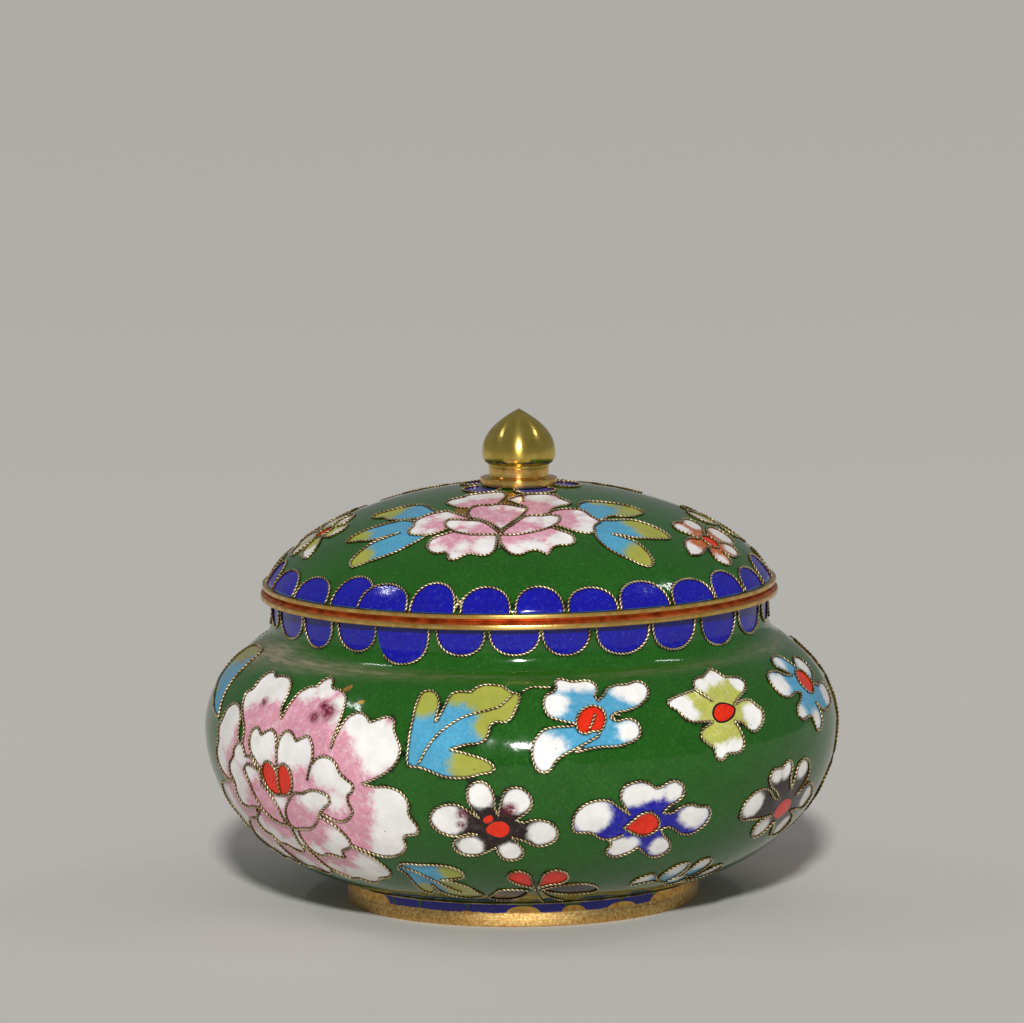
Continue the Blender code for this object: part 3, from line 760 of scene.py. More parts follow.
def insideAny(points, loops):
    inside = np.zeros(len(points), bool)
    for loop in loops:
        inside |= insideOf(points, loop)
    return inside


def triangulated(border, loops):  # the pattern in triangles, each in the ground (0) or in cell 1, 2, ...
    edges, first = [], len(border)
    for loop in loops:
        edges += [(first + i, first + (i + 1) % len(loop)) for i in range(len(loop))]
        first += len(loop)
    marks = np.vstack([border] + [evenly(loop, skin["marks"], True) for loop in loops])
    fine, coarse = triangularGrid(border, skin["fine"]), triangularGrid(border, skin["coarse"])
    fine, coarse = fine[insideAny(fine, loops)], coarse[~insideAny(coarse, loops)]
    free = [grid[distances(marks, grid) > skin["clear"]] for grid in (fine, coarse)]
    points = [Vector(p) for p in np.vstack([border, *loops, *free])]
    flat, _, faces, _, _, _ = delaunay_2d_cdt(points, edges, [list(range(len(border)))], 1, 1e-6)
    flat, faces = np.array([tuple(p) for p in flat]), np.array(faces)
    centres = flat[faces].mean(1)
    owner = np.zeros(len(faces), int)
    for i, loop in enumerate(loops):
        owner[insideOf(centres, loop)] = i + 1
    return flat, faces, owner


def paintEnamels(piece, flat, corners, owner, cells):
    share = np.zeros(len(corners))
    for i, cell in enumerate(cells):
        mine = np.flatnonzero(owner == i + 1)
        at = flat[corners[mine]]
        for x, y, reach in cell["spots"]:
            depth = (reach - np.hypot(at[:, 0] - x, at[:, 1] - y)) / (2 * enamels[cell["main"]][1])
            share[mine] = np.maximum(share[mine], np.clip(0.5 + depth, 0, 1))
    share = share * share * (3 - 2 * share)
    kinds = [("green", "green")] + [(c["main"], c["second"]) for c in cells]
    for layer, k in (("mainEnamel", 0), ("secondEnamel", 1)):
        paint(piece, layer, np.array([linear(enamels[kind[k]][0]) for kind in kinds])[owner], "CORNER")
    paint(piece, "secondShare", share, "CORNER")
    paint(piece, "grain", np.array([enamels[kind[0]][2] for kind in kinds])[owner], "CORNER")
    paint(piece, "bareMetal", np.array([float(kind[0] == "gilt") for kind in kinds])[owner], "CORNER")


def enamelSkin(name, border, cells, stains, dust, runs, place):
    loops = [evenly(cell["line"], skin["edge"], True) for cell in cells]
    flat, faces, owner = triangulated(border, loops)
    away = distances(np.vstack(runs), flat)
    sink = 1 - np.exp(-2 * (away / skin["dipReach"]) ** 2)
    piece = meshPiece(name, place(flat, -skin["dip"] * sink)[0], faces.tolist())
    paintEnamels(piece, flat, faces.ravel(), np.repeat(owner, 3), cells)
    paint(piece, "besideWire", np.exp(-away / skin["waxReach"]))
    stained, dusty = np.zeros(len(flat)), np.zeros(len(flat))
    for x, y, reach in stains:
        stained = np.maximum(stained, 1 - np.hypot(flat[:, 0] - x, flat[:, 1] - y) / reach)
    for x, y, reachX, reachY, amount in dust:
        dusty += amount * np.exp(-((flat[:, 0] - x) / reachX) ** 2 - ((flat[:, 1] - y) / reachY) ** 2)
    paint(piece, "stain", stained)
    paint(piece, "dust", dusty)
    return piece


# Materials


def feed(node, inputs):  # an input takes a value, a hex colour, or another node's output as a link
    for name, value in inputs.items():
        if isinstance(value, bpy.types.NodeSocket):
            node.id_data.links.new(value, node.inputs[name])
        else:
            node.inputs[name].default_value = linear(value) if isinstance(value, str) else value


def addNode(material, kind, inputs, output=0, **settings):
    node = material.node_tree.nodes.new("ShaderNode" + kind)
    for name, value in settings.items():
        setattr(node, name, value)
    feed(node, inputs)
    return node.outputs[output]


def noise(material, where, scale, detail, roughness=0.5):
    inputs = {"Vector": where, "Scale": scale, "Detail": detail, "Roughness": roughness}
    return addNode(material, "TexNoise", inputs)


def spread(material, value, least, most, low=0.0, high=1.0):  # least to most becomes low to high
    inputs = {"Value": value, "From Min": least, "From Max": most, "To Min": low, "To Max": high}
    return addNode(material, "MapRange", inputs)


def reckon(material, operation, *values, clamp=False):
    return addNode(material, "Math", dict(enumerate(values)), operation=operation, use_clamp=clamp)


def mixed(material, share, first, second, blend="MIX"):
    inputs = {0: share, 6: first, 7: second}
    return addNode(material, "Mix", inputs, 2, data_type="RGBA", blend_type=blend)


def bumped(material, height, strength, depth, under=None, sunk=False):
    inputs = {"Height": height, "Strength": strength, "Distance": depth * mm}
    if under:
        inputs["Normal"] = under
    return addNode(material, "Bump", inputs, invert=sunk)


def layers(material, output, *names):  # painted on the mesh
    return [addNode(material, "Attribute", {}, output, attribute_name=name) for name in names]


def newMaterial(name):
    material = bpy.data.materials.new(name)
    material.use_nodes = True
    material.node_tree.nodes.clear()
    surface = addNode(material, "BsdfPrincipled", {})
    addNode(material, "OutputMaterial", {"Surface": surface}, slice(0))
    coords = addNode(material, "TexCoord", {}, "Object")
    inMm = addNode(material, "Mapping", {"Vector": coords, "Scale": (1000, 1000, 1000)})
    return material, surface.node, inMm


def makeEnamel():
    # vitreous enamel fired on copper and polished: glassy gloss over a slightly clouded, grainy colour
    material, shader, inMm = newMaterial("vitreousEnamel")
    share, grain, bare, beside, stain, dust = layers(
        material, "Fac", "secondShare", "grain", "bareMetal", "besideWire", "stain", "dust")
    main, second = layers(material, "Color", "mainEnamel", "secondEnamel")
    fine, clouds, specks, lumps = (
        noise(material, inMm, 1 / size, detail, 0.65)
        for size, detail in ((0.42, 3.0), (4.5, 4.0), (0.5, 2.0), (1.1, 5.0)))
    # the two enamels were filled in wet: their border is ragged, and grains of the second lie in the first
    alone = reckon(material, "SUBTRACT", 1.0, share)
    loose = reckon(material, "MULTIPLY_ADD", share, 2.2, grain)
    loose = reckon(material, "MULTIPLY", loose, alone)
    strewn = spread(material, lumps, 0.3, 0.7, -0.7, 0.7)
    blend = reckon(material, "MULTIPLY_ADD", loose, strewn, share, clamp=True)
    colour = mixed(material, blend, main, second)
    cloudy = spread(material, clouds, 0.3, 0.7, 0.88, 1.1)
    grainy = spread(material, fine, 0.25, 0.75, -0.22, 0.2)
    grainy = reckon(material, "MULTIPLY_ADD", grainy, alone, 1.0)
    depth = reckon(material, "MULTIPLY", cloudy, grainy)
    colour = addNode(material, "HueSaturation", {"Color": colour, "Value": depth})
    # pale grains that did not melt quite clear
    pale = spread(material, specks, 0.54, 0.74, 0.0, 0.8)
    colour = mixed(material, pale, colour, "#2c3a24", "SCREEN")
    # plum stains where the pink enamel burnt
    patchy = spread(material, fine, 0.25, 0.6, 0.2, 1.6)
    burnt = reckon(material, "MULTIPLY", stain, patchy, clamp=True)
    colour = mixed(material, burnt, colour, "#6d1030")
    # the bare gilt metal of the foot is worn to a browner gold in patches
    patches = spread(material, lumps, 0.38, 0.62, 0.0, 0.8)
    worn = reckon(material, "MULTIPLY", bare, patches)
    colour = mixed(material, worn, colour, "#bd7a30")
    # pinholes, a quarter of a millimetre across
    holes = addNode(material, "TexVoronoi", {"Vector": inMm, "Scale": 0.36}, "Distance", feature="F1")
    pits = spread(material, holes, 0.03, 0.055, 0.8, 0.0)
    colour = mixed(material, pits, colour, "#2a2018")
    # a thin dark line of wax and oxide along the wires
    tarnish = spread(material, beside, 0.32, 0.75, 0.0, 0.9)
    colour = mixed(material, tarnish, colour, "#4a2f18", "MULTIPLY")
    # dust that the cloth left at the root of the neck and on the shoulder
    wiped = addNode(material, "Mapping", {"Vector": inMm, "Scale": (0.22, 0.22, 2.6)})
    settled = spread(material, noise(material, wiped, 1.0, 4.0, 0.6), 0.4, 0.66, 0.35, 1.1)
    dusty = reckon(material, "MULTIPLY", dust, settled, clamp=True)
    colour = mixed(material, dusty, colour, "#8b836b")
    # the gloss is dulled a little by clouds, more by dust, and most on the bare metal
    glaze = spread(material, clouds, 0.3, 0.7, 0.05, 0.14)
    matt = reckon(material, "MULTIPLY_ADD", dusty, 0.5, glaze)
    matt = reckon(material, "MULTIPLY_ADD", bare, 0.3, matt)
    ripple = bumped(material, noise(material, inMm, 0.55, 3.0), 0.1, 0.3)
    dents = bumped(material, pits, 0.3, 0.1, ripple, sunk=True)
    feed(shader, {"Base Color": colour, "Metallic": bare, "Roughness": matt, "IOR": 1.52, "Normal": dents})
    return material


def makeCounterEnamel():
    # counter-enamel of the hidden sides: one turquoise coat, unpolished and a little speckled
    material, shader, inMm = newMaterial("counterEnamel")
    clouds, specks = noise(material, inMm, 0.2, 4.0), noise(material, inMm, 2.5, 2.0)
    colour = mixed(material, spread(material, clouds, 0.3, 0.7), "#3f9fc4", "#5cb9d6")
    colour = mixed(material, spread(material, specks, 0.66, 0.74), colour, "#245a70")
    bump = bumped(material, clouds, 0.3, 0.4)
    feed(shader, {"Base Color": colour, "Roughness": 0.28, "IOR": 1.52, "Normal": bump})
    return material


def makeGilt(name, bright, deep, dullest, marks, grain=0.5):
    # turned brass, gilt and polished: a warm mirror drawn out by fine turning marks, with handling haze
    material, shader, inMm = newMaterial(name)
    haze = noise(material, inMm, grain, 6.0, 0.7)
    colour = mixed(material, spread(material, haze, 0.35, 0.65), bright, deep)
    dull = spread(material, haze, 0.3, 0.7, dullest * 0.6, dullest)
    # the turning marks run round the axis: their noise depends on radius and height alone
    apart = addNode(material, "SeparateXYZ", {0: inMm})
    flatXy = addNode(material, "CombineXYZ", {0: apart, 1: apart.node.outputs[1]})
    radius = addNode(material, "VectorMath", {0: flatXy}, "Value", operation="LENGTH")
    lathe = addNode(material, "CombineXYZ", {0: radius, 1: apart.node.outputs[2]})
    grooves = bumped(material, noise(material, lathe, 5.0, 3.0), marks, 0.1)
    dents = bumped(material, haze, marks, 0.2, grooves)
    tangent = addNode(material, "Tangent", {}, direction_type="RADIAL", axis="Z")
    feed(shader, {"Base Color": colour, "Metallic": 1.0, "Roughness": dull, "Anisotropic": 0.75,
                  "Anisotropic Rotation": 0.25, "Tangent": tangent, "Normal": dents})
    return material


def makeWireGilt():
    # twisted copper wire, gilt after polishing: lighter on the upward-facing crests, partly polish wear and
    # partly a painted highlight, brown with old wax between them
    material, shader, inMm = newMaterial("giltTwistedWire")
    crestAndPaintedHighlight = layers(material, "Fac", "crestAndPaintedHighlight")[0]
    uneven = spread(material, noise(material, inMm, 0.35, 4.0), 0.32, 0.62, -0.4, 0.1)
    tone = spread(material, reckon(material, "ADD", crestAndPaintedHighlight, uneven), 0.2, 0.8)
    colour = mixed(material, tone, "#5a4014", "#fff0c4")
    dull = spread(material, tone, 0.0, 1.0, 0.6, 0.42)
    feed(shader, {"Base Color": colour, "Metallic": 0.9, "Roughness": dull})
    return material


def makeCopper():
    # bare copper in the groove between the lid's rim and the mouth ring: red-brown and dull
    material, shader, inMm = newMaterial("dullCopper")
    patches = spread(material, noise(material, inMm, 0.5, 4.0), 0.35, 0.65)
    colour = mixed(material, patches, "#a24817", "#d27638")
    feed(shader, {"Base Color": colour, "Metallic": 0.8, "Roughness": 0.4})
    return material


materials = {
    "enamel": makeEnamel(),
    "counter": makeCounterEnamel(),
    "gilt": makeGilt("giltBrass", "#f0cd7c", "#cf9c48", 0.4, 0.2),
    "grainyGilt": makeGilt("grainyGiltBrass", "#f6dc92", "#bd7a30", 0.5, 0.5, 2.2),
    "polished": makeGilt("polishedGiltBrass", "#e2cb6c", "#cfb352", 0.26, 0.05),
    "warmGilt": makeGilt("warmGiltBrass", "#f2cf7e", "#dba654", 0.27, 0.05),
    "wire": makeWireGilt(),
    "copper": makeCopper(),
}


def dress(piece, *names):
    piece.data.materials.clear()
    for name in names:
        piece.data.materials.append(materials[name])


def hand(piece, slotName, *nodes):
    if nodes:
        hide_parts(*nodes)
    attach(piece, "root")


def handShell(name, outer, hiddenSides, node):  # the patterned outside and the plain sides as one piece
    for part in (outer, *hiddenSides):
        dress(part, "enamel", "counter")
    only(None)
    for part in hiddenSides:
        part.data.polygons.foreach_set("material_index", [1] * len(part.data.polygons))
        part.select_set(True)
    outer.select_set(True)
    bpy.context.view_layer.objects.active = outer
    bpy.ops.object.join()
    outer.name = outer.data.name = name
    outward(outer, 2 * weldGap)
    smoothShade(outer, 35)
    print(name, triangles(outer), "triangles")
    hand(outer, "green_enamel", node)


def handRope(name, runs, place):
    rope = ropeMesh(name, runs, place)
    dress(rope, "wire")
    hand(rope, "gilt_brass")


# Rows of blue tongues under the mouth ring, above the foot and round the lid's edge: those that the
# photograph shows, as left and right in degrees and depth in millimetres, and even ones behind

neckTongues = {
    "seen": [(-81, -73, 3.2), (-71.5, -58.9, 3.9), (-58, -47.4, 4.3), (-45.4, -34.2, 4),
             (-33.9, -20.8, 5.5), (-18.9, -7.9, 3.7), (-6.8, 4.4, 3.6), (5, 15.7, 3.8), (17.3, 30.2, 4.1),
             (31.2, 43.2, 4.2), (45.4, 58, 4.65), (59.6, 71.8, 4.1), (74, 83, 3.3)],
    "pitch": 12.4, "gap": 1.6, "depth": 3.8, "fullness": 0.74,
    "deep": 5, "bare": 0.26,  # the deep one's wire stops short on its left
}
footTongues = {
    "seen": [(-60, -47, 2.3), (-46.4, -35.6, 2.3), (-35, -18.4, 2.4), (-17.8, -1.8, 2.5), (2.6, 13.3, 2.2),
             (18.3, 33, 2.4), (33.6, 46.6, 2.3), (50, 60, 2.3)],
    "pitch": 15.0, "gap": 2.0, "depth": 2.3, "fullness": 0.4, "lift": 0.1,
}
footGilt = {  # gilt metal shows in an uneven edge and in humps between the low tongues
    "rise": 0.36, "waves": ((0.14, 17), (0.1, 41), (0.06, 97)),  # height in mm and count round the jar
    "humps": [(-96, -62, 1.8), (-70, -48.5, 2), (-37.6, -33, .6), (-21, -16, .7), (-5.6, 5.4, 1.5),
              (12.2, 20.4, 1.4), (28, 39, 1.2), (45.4, 70, 2), (62, 90, 1.8), (118, 126, 1.2),
              (150, 161, 1.4), (204, 215, 1.3), (238, 246, 1.1)],
    "fullness": 0.6, "wireRise": 2.75, "wireWave": (0.14, 23),
}
lidTongues = {
    "seen": [(-75.5, -62.2, 4), (-61.2, -48.6, 3.9), (-47, -35.4, 5.1), (-38.6, -25.9, 4.2),
             (-25, -14.6, 4.9), (-13.1, -2.1, 4.3), (-.9, 9.8, 4.3), (10.8, 22.2, 3.75), (23, 35.4, 4.25),
             (36.6, 49, 3.7), (49.6, 60.8, 4.1), (61.8, 72.6, 3.6)],
    "pitch": 12.4, "gap": 0.9, "depth": 4.6, "fullness": 0.72,
}
seam = bowl["seamAngle"]


def around(band):
    start, stop = band["seen"][-1][1] + band["gap"], band["seen"][0][0] + 360
    tongues = list(band["seen"])
    for first, last in ((start, seam + 360), (seam + 360, stop)):
        count = round((last - first) / band["pitch"])
        pitch = (last - first) / count
        for i in range(count):
            left = first + (i + 0.5) * pitch - (pitch - band["gap"]) / 2
            tongues.append((left, left + pitch - band["gap"], band["depth"] * wobble.uniform(0.94, 1.06)))
    return tongues


def tongueCell(place, half, depth, fullness, enamel="blue", bare=0.0):
    # from (-half, 0) round its tip at (0, depth) to (half, 0), and back along its root
    turn = np.linspace(0, math.pi, facets["tongueArch"])
    back = np.linspace(half, -half, facets["tongueRoot"])[1:-1]
    arch = np.stack([-half * np.cos(turn), depth * np.sin(turn) ** fullness], -1)
    loop = evenly(place(np.vstack([arch, np.stack([back, 0 * back], -1)])), wires["samples"], True)
    if area(loop) < 0:
        loop = loop[::-1]
    run = evenly(place(arch), wires["samples"])
    wired = [] if enamel == "gilt" else [(run[int(len(run) * bare):], False)]
    return {"main": enamel, "second": enamel, "line": loop, "spots": [], "wires": wired}


def onEdge(middle, level, rise):  # along the wall's upper edge, or up from its lower one
    return lambda flat: np.stack([flat[:, 0] + middle, level + rise * flat[:, 1]], -1)


def wrapped(angle):  # the same angle, between the seam and a turn later
    return (angle - seam) % 360 + seam


def footCells():
    cells, low = [], skin["inset"] - wallLength
    turn = np.radians(np.arange(seam + 1, seam + 359, 0.5))
    uneven = sum(size * np.sin(turn * count) for size, count in footGilt["waves"])
    edge = np.stack([turn * bowl["chartRadius"], low + footGilt["rise"] + uneven], -1)
    ends = [[(edge[0, 0], low)], [(edge[-1, 0], low)]]
    strip = evenly(np.vstack([*ends, edge[::-1]]), wires["samples"], True)
    for left, right, depth in around(footTongues):
        place = onEdge(wrapped((left + right) / 2) * degree, low + footTongues["lift"], 1)
        tongue = tongueCell(place, (right - left) / 2 * degree, depth, footTongues["fullness"])
        cells.append({**tongue, "wires": []})
    cells.append({"main": "gilt", "second": "gilt", "line": strip, "spots": [], "wires": []})
    for left, right, rise in footGilt["humps"]:
        place = onEdge((left + right) / 2 * degree, low, 1)
        cells.append(tongueCell(place, (right - left) / 2 * degree, rise, footGilt["fullness"], "gilt"))
    size, count = footGilt["wireWave"]
    wave = np.stack([edge[:, 0], low + footGilt["wireRise"] + size * np.sin(turn * count)], -1)
    cells[-1]["wires"].append((evenly(wave, wires["samples"]), False))
    return cells


def wallCells():
    cells, stains = [], []
    for left, right, depth in around(neckTongues):
        place = onEdge(wrapped((left + right) / 2) * degree, -skin["inset"], -1)
        bare = neckTongues["bare"] if depth > neckTongues["deep"] else 0.0
        cells.append(tongueCell(place, (right - left) / 2 * degree, depth + bowl["neckLap"],
                                neckTongues["fullness"], "blue", bare))
    cells += footCells()
    for spots, swaps in ((places["front"], {}), (places["behind"], places["behindSwaps"])):
        for angle, s, motif in spots:
            place = atWall(wrapped(angle), s + bowl["neckLap"])
            more, marks = gathered(place, motif, {} if motif is peony else swaps)
            cells += more
            stains += marks
    return cells, stains


# Where each motif sits on the wall: degrees, millimetres down the wall. The front, and much the same
# arrangement again behind, in other enamels here and there

places = {
    "front": [(-79, 13, leafJ), (-49.8, 26.2, peony), (-10.3, 16.7, leaf), (13.2, 16.2, flowerA),
              (39.7, 16.2, flowerB), (68.7, 15.7, flowerC), (-4.8, 33.2, flowerD), (22.7, 33.2, flowerE),
              (58.2, 33.2, flowerF), (-19.8, 46.2, leafG), (3.2, 48.2, butterfly), (38.2, 46.2, spray)],
    "behindTurn": 157, "behindSwaps": {"lemon": "turquoise", "maroon": "blue", "blue": "maroon"},
}
places["behind"] = [(angle + places["behindTurn"], s, motif) for angle, s, motif in places["front"][1:]]
places["behind"] += [(249, 14, leafJ), (248, 31, flowerE)]
wallDust = [  # degrees, millimetres down the wall, its spread in each, and how much
    (-68, 7.4, 10, 2.6, 1.2), (-82, 9, 9, 3.6, 1), (-50, 8, 14, 1.5, .8), (-30, 7.8, 22, .8, .45),
    (76, 7.6, 18, 1.6, .5), (30, 8, 30, .8, .3), (150, 8, 60, .9, .45), (230, 8.2, 30, 1.4, .6),
]
wireHalves = (("bowlWiresFront", -100, 82), ("bowlWiresBack", 82, 400))  # degrees

print("patterns of the wall")
cells, stains = wallCells()
runs = visibleRuns(cells)
steps = facets["around"]
turns = (np.radians(seam) + np.arange(steps + 1) * math.tau / steps) * bowl["chartRadius"]
falls = np.linspace(0, -wallLength, skin["rows"])
border = np.vstack([
    np.stack([turns, np.full(steps + 1, -wallLength)], -1),
    np.stack([np.full(skin["rows"] - 2, turns[-1]), falls[-2:0:-1]], -1),
    np.stack([turns[::-1], np.zeros(steps + 1)], -1),
    np.stack([np.full(skin["rows"] - 2, turns[0]), falls[1:-1]], -1),
])
flatDust = [(angle * degree, -s, wide * degree, tall, amount) for angle, s, wide, tall, amount in wallDust]
outerSkin = enamelSkin("bowlSkin", border, cells, stains, flatDust, runs, onWall)
bowlInside = turned("bowlInside", insideOutline(neckTop), steps)
bowlUnderside = turned("bowlUnderside", undersideOutline(), steps)
handShell("enamelledBowl", outerSkin, [bowlInside, bowlUnderside], "jar_body")
for name, low, high in wireHalves:
    handRope(name, [run for run in runs if low < run[:, 0].mean() / degree <= high], onWall)

# The lid's pattern, seen from above: x to the right, y to the back

lidPeony = {"cells": [
    ("gilt", "gilt", [
        (-10, -14.4), (-7.6, -15), (-2.4, -8.2), (-.8, -8.6), (-.6, -12), (5.4, -17.4), (7.6, -17),
        (6.4, -23.8), (4, -25.4), (-3, -26.4), (-10.4, -24.6), (-11.4, -20), (-10, -17),
    ], [], None),
    ("pink", "white", [
        (-3.4, -26), (-3.4, -28), (-3.6, -29.8), (-4, -31.5), (-4.8, -32.2), (-6, -32.3), (-7, -31.8),
        (-8, -31.4), (-9, -31.9), (-10.2, -32.4), (-11.2, -32), (-11.3, -30.8), (-11.8, -30), (-13, -29.9),
        (-14, -29), (-14.5, -27.8), (-14.2, -26.2), (-13, -25), (-11.3, -24.6), (-9, -24),
    ], [
        (-13, -28.8, 1.4), (-5.2, -29.6, 2.4), (-5, -31, 1.5), (-10, -31.6, 1.5), (-13.6, -26, .9),
        (-9, -29, 1.3),
    ]),
    ("pink", "white", [
        (-2.8, -26), (-2.6, -30), (-1.8, -31.6), (-.6, -32.6), (.6, -32.5), (1.6, -31.8), (2.7, -31.4),
        (3.6, -31.8), (4.6, -32.5), (5, -31.6), (5.4, -30.6), (6.2, -29.9), (7.8, -29.5), (8.8, -28.6),
        (8.8, -27.2), (8, -26), (6.8, -25.4), (5.3, -24.6), (3, -24),
    ], [(-.4, -31.4, 1.8), (3, -30.4, 2), (6.6, -28.4, 2.2), (7.4, -27, 1.8), (1.4, -30.2, 1.4)]),
    ("pink", "white", [
        (-8.3, -15.6), (-9.3, -15), (-10.4, -13.4), (-11.2, -11.8), (-11, -10.4), (-9.8, -9.8),
        (-8.6, -9.4), (-8, -8.6), (-6.6, -8.3), (-5, -8), (-3.4, -7.8), (-2.2, -8.4), (-1.9, -9.8),
        (-2.1, -11.6), (-2.6, -13.4), (-3.4, -15.4), (-6, -16),
    ], [(-9.6, -11, 1.7), (-6.4, -9.4, 2.2), (-3.4, -9.6, 2)]),
    ("pink", "white", [
        (1.2, -18.6), (1.2, -16.6), (.2, -15.6), (-.9, -14.2), (-1.6, -13.2), (-.8, -11.9), (.2, -10.8),
        (1.4, -10.2), (3, -9.7), (5, -9.6), (6.2, -10.3), (6.6, -11.6), (7.5, -12.6), (8.2, -13.6),
        (7.8, -14.8), (6.6, -15.8), (5.6, -17), (5, -18.4), (4, -19.9), (2.4, -20.8), (1, -20.4),
    ], [(3.4, -11.4, 2.2), (6.4, -13.4, 1.7), (0, -12.8, 1.2)]),
    ("pink", "white", [
        (4.4, -20), (5.4, -18.2), (6.6, -17.3), (8, -16.7), (9.6, -16.6), (10.8, -17.5), (11.4, -18.8),
        (12.4, -19.8), (12.9, -20.6), (12.2, -21.8), (11.9, -23), (12, -24.2), (11.2, -25.2), (9.6, -25.3),
        (8, -24.8), (6.6, -24), (5, -23.4),
    ], [(11, -19.6, 1.5), (11.2, -22.4, 1.9), (10.2, -24.2, 1.5), (9.6, -17.6, 1.1)]),
    ("pink", "white", [
        (-7.6, -20.6), (-9, -18.4), (-10.2, -17), (-11, -16), (-12.6, -15.8), (-14.4, -16.2),
        (-15.6, -16.9), (-16.4, -18), (-16.6, -19.4), (-17.3, -20.6), (-17.2, -22), (-16.2, -23),
        (-15, -23.6), (-13.6, -24), (-12, -23.6), (-10, -22),
    ], [(-15.6, -18, 1.6), (-16.4, -21.2, 1.5), (-11.4, -17.4, 1.6), (-14, -23, 1)]),
    ("pink", "white", [
        (-2.9, -26.8), (-5.5, -26.5), (-8, -25.8), (-10, -24.3), (-11.2, -22.5), (-11.5, -20.8),
        (-11, -19.8), (-9.5, -20.2), (-8, -20.9), (-6.2, -21.6), (-5, -22.7), (-4.1, -24.3), (-3.2, -26),
    ], [(-10.4, -21.2, 1.6), (-7.4, -22, 1.3), (-9, -24.6, .9)]),
    ("pink", "white", [
        (-2.9, -26.8), (-1, -27.1), (1, -26.7), (3, -25.8), (4.8, -24.6), (6, -23), (6.5, -21.5),
        (6.4, -20.2), (5.2, -19.8), (3.8, -20.3), (2.4, -20.4), (1.2, -20.6), (.2, -22), (-1, -23.8),
        (-2.2, -25.5),
    ], [(5, -21.4, 1.8), (2.4, -21.6, 1.2), (4.6, -23.8, 1), (1.6, -26, .8)]),
    ("pink", "white", [
        (-2.8, -25.4), (-4.2, -23), (-6, -21.2), (-7.3, -20.2), (-7.8, -18.6), (-7.7, -16.8), (-7, -15.4),
        (-5.8, -15), (-4.2, -15.3), (-2.6, -15), (-1.4, -15.6), (.2, -16.5), (1.2, -17), (1.2, -18.5),
        (.6, -20), (-.4, -21.8), (-1.5, -23.6),
    ], [(-1, -16.6, 1), (-3.6, -16, .8), (.2, -17.6, .8), (-3, -24, .9)]),
], "lines": [[(-3.1, -26.8), (-3, -29), (-3.1, -31)]]}
lidLeavesLeft = {"cells": [
    ("turquoise", "leaf", [
        (-12.6, -16), (-13.4, -14), (-14.2, -12), (-15, -10.2), (-16.5, -9.2), (-18.5, -8.8), (-20.5, -8.6),
        (-22.5, -8.4), (-23.2, -9.4), (-22.4, -10.8), (-21.2, -12), (-20.6, -13.4), (-19.4, -14.8),
        (-18, -15.8), (-16.5, -16.4), (-14, -17),
    ], [(-21.4, -10, 3.2), (-19, -8.6, 2), (-17, -8.4, 1.4)]),
    ("turquoise", "leaf", [
        (-14, -19), (-16.8, -17.2), (-17.8, -16.2), (-19.6, -15.6), (-21.5, -15.2), (-23.5, -15),
        (-25.5, -15.1), (-27, -15.6), (-27.6, -16.4), (-26.8, -17.4), (-25.4, -18.4), (-24.2, -19.4),
        (-22.6, -20.2), (-20.5, -20.5), (-18.8, -20.6), (-21.5, -20.9), (-23.4, -21), (-25, -21.8),
        (-26.6, -23), (-27.4, -24.2), (-27.2, -25.4), (-25.8, -26), (-23.5, -26.3), (-21.5, -26.5),
        (-19, -26.3), (-17.2, -25.6), (-15, -24.4),
    ], [(-26.4, -17, 2.9), (-26.4, -24, 3.1)]),
]}
lidLeavesRight = {"cells": [
    ("turquoise", "leaf", [
        (9.4, -15), (9.8, -13.3), (10.6, -12.2), (12.4, -11.4), (14.6, -10.9), (16.8, -10.6), (18.6, -11),
        (19.6, -12), (19.6, -13.2), (18.8, -14.6), (17.6, -16), (16.4, -16.8), (15, -17.2), (14, -18),
        (13.4, -19.4), (12, -19.6), (10, -18),
    ], [(18, -12.6, 2.6), (14.6, -11.2, 1.5), (16.6, -15.4, 1.2), (12, -11.6, 1.2)]),
    ("turquoise", "leaf", [
        (12, -19.6), (13.2, -19.8), (15, -19), (16.6, -18), (18.5, -17.2), (20.5, -17.4), (22.4, -18),
        (23.8, -19), (24.2, -20), (23.4, -21), (21.8, -22), (20, -23), (18.4, -23.7), (16.5, -23.9),
        (14.6, -24.1), (16.8, -24.4), (18.4, -24.8), (19.8, -25.8), (21, -27.4), (21.7, -29.2),
        (21.2, -30.4), (19.6, -30.7), (17.6, -30.2), (15.6, -29.6), (13.8, -28.4), (12.6, -26.8),
        (12, -24.6), (11, -22),
    ], [(21.4, -19.4, 3.4), (18.2, -18.4, 1.8), (20, -28.2, 3.2)]),
]}
lidFlower = {"cells": [  # drawn round its own centre
    ("orange", "white", [
        (-1.2, 2.5), (-1.4, 5), (-2.6, 6.4), (-4, 6.2), (-4.7, 4.8), (-5, 3), (-6, 1.6), (-6.4, 0),
        (-5.6, -1.6), (-4, -1.6), (-1.8, -1.4), (-3.6, -3), (-4.2, -5), (-4, -7), (-3.2, -8.6),
        (-1.8, -7.4), (-1, -5.6), (-.6, -3.8), (0, -2), (.2, -4), (1.4, -5.4), (3, -5.2), (4, -4),
        (4, -2.6), (2.4, -1.2), (4, -.8), (5, 1), (5.2, 3), (4.2, 4.1), (3, 3.4), (1.4, 1.6), (2.4, 3),
        (3.8, 4.4), (4.4, 6.6), (3.6, 8.6), (1.8, 9.2), (.2, 8.2), (-.6, 6), (-.6, 3.6), (-.4, 2),
    ], [(-3, 4.6, 1.8), (-4.8, .4, 1.5), (-3, -6.2, 2.1), (2.6, -4, 1.4), (4, 2, 1.5), (2, 6.6, 2.3)]),
    ("red", "red", [
        (-1.6, -.4), (-1.2, 1.1), (0, 1.7), (1.3, 1.1), (1.7, -.2), (1, -1.5), (-.4, -1.7),
    ], []),
]}
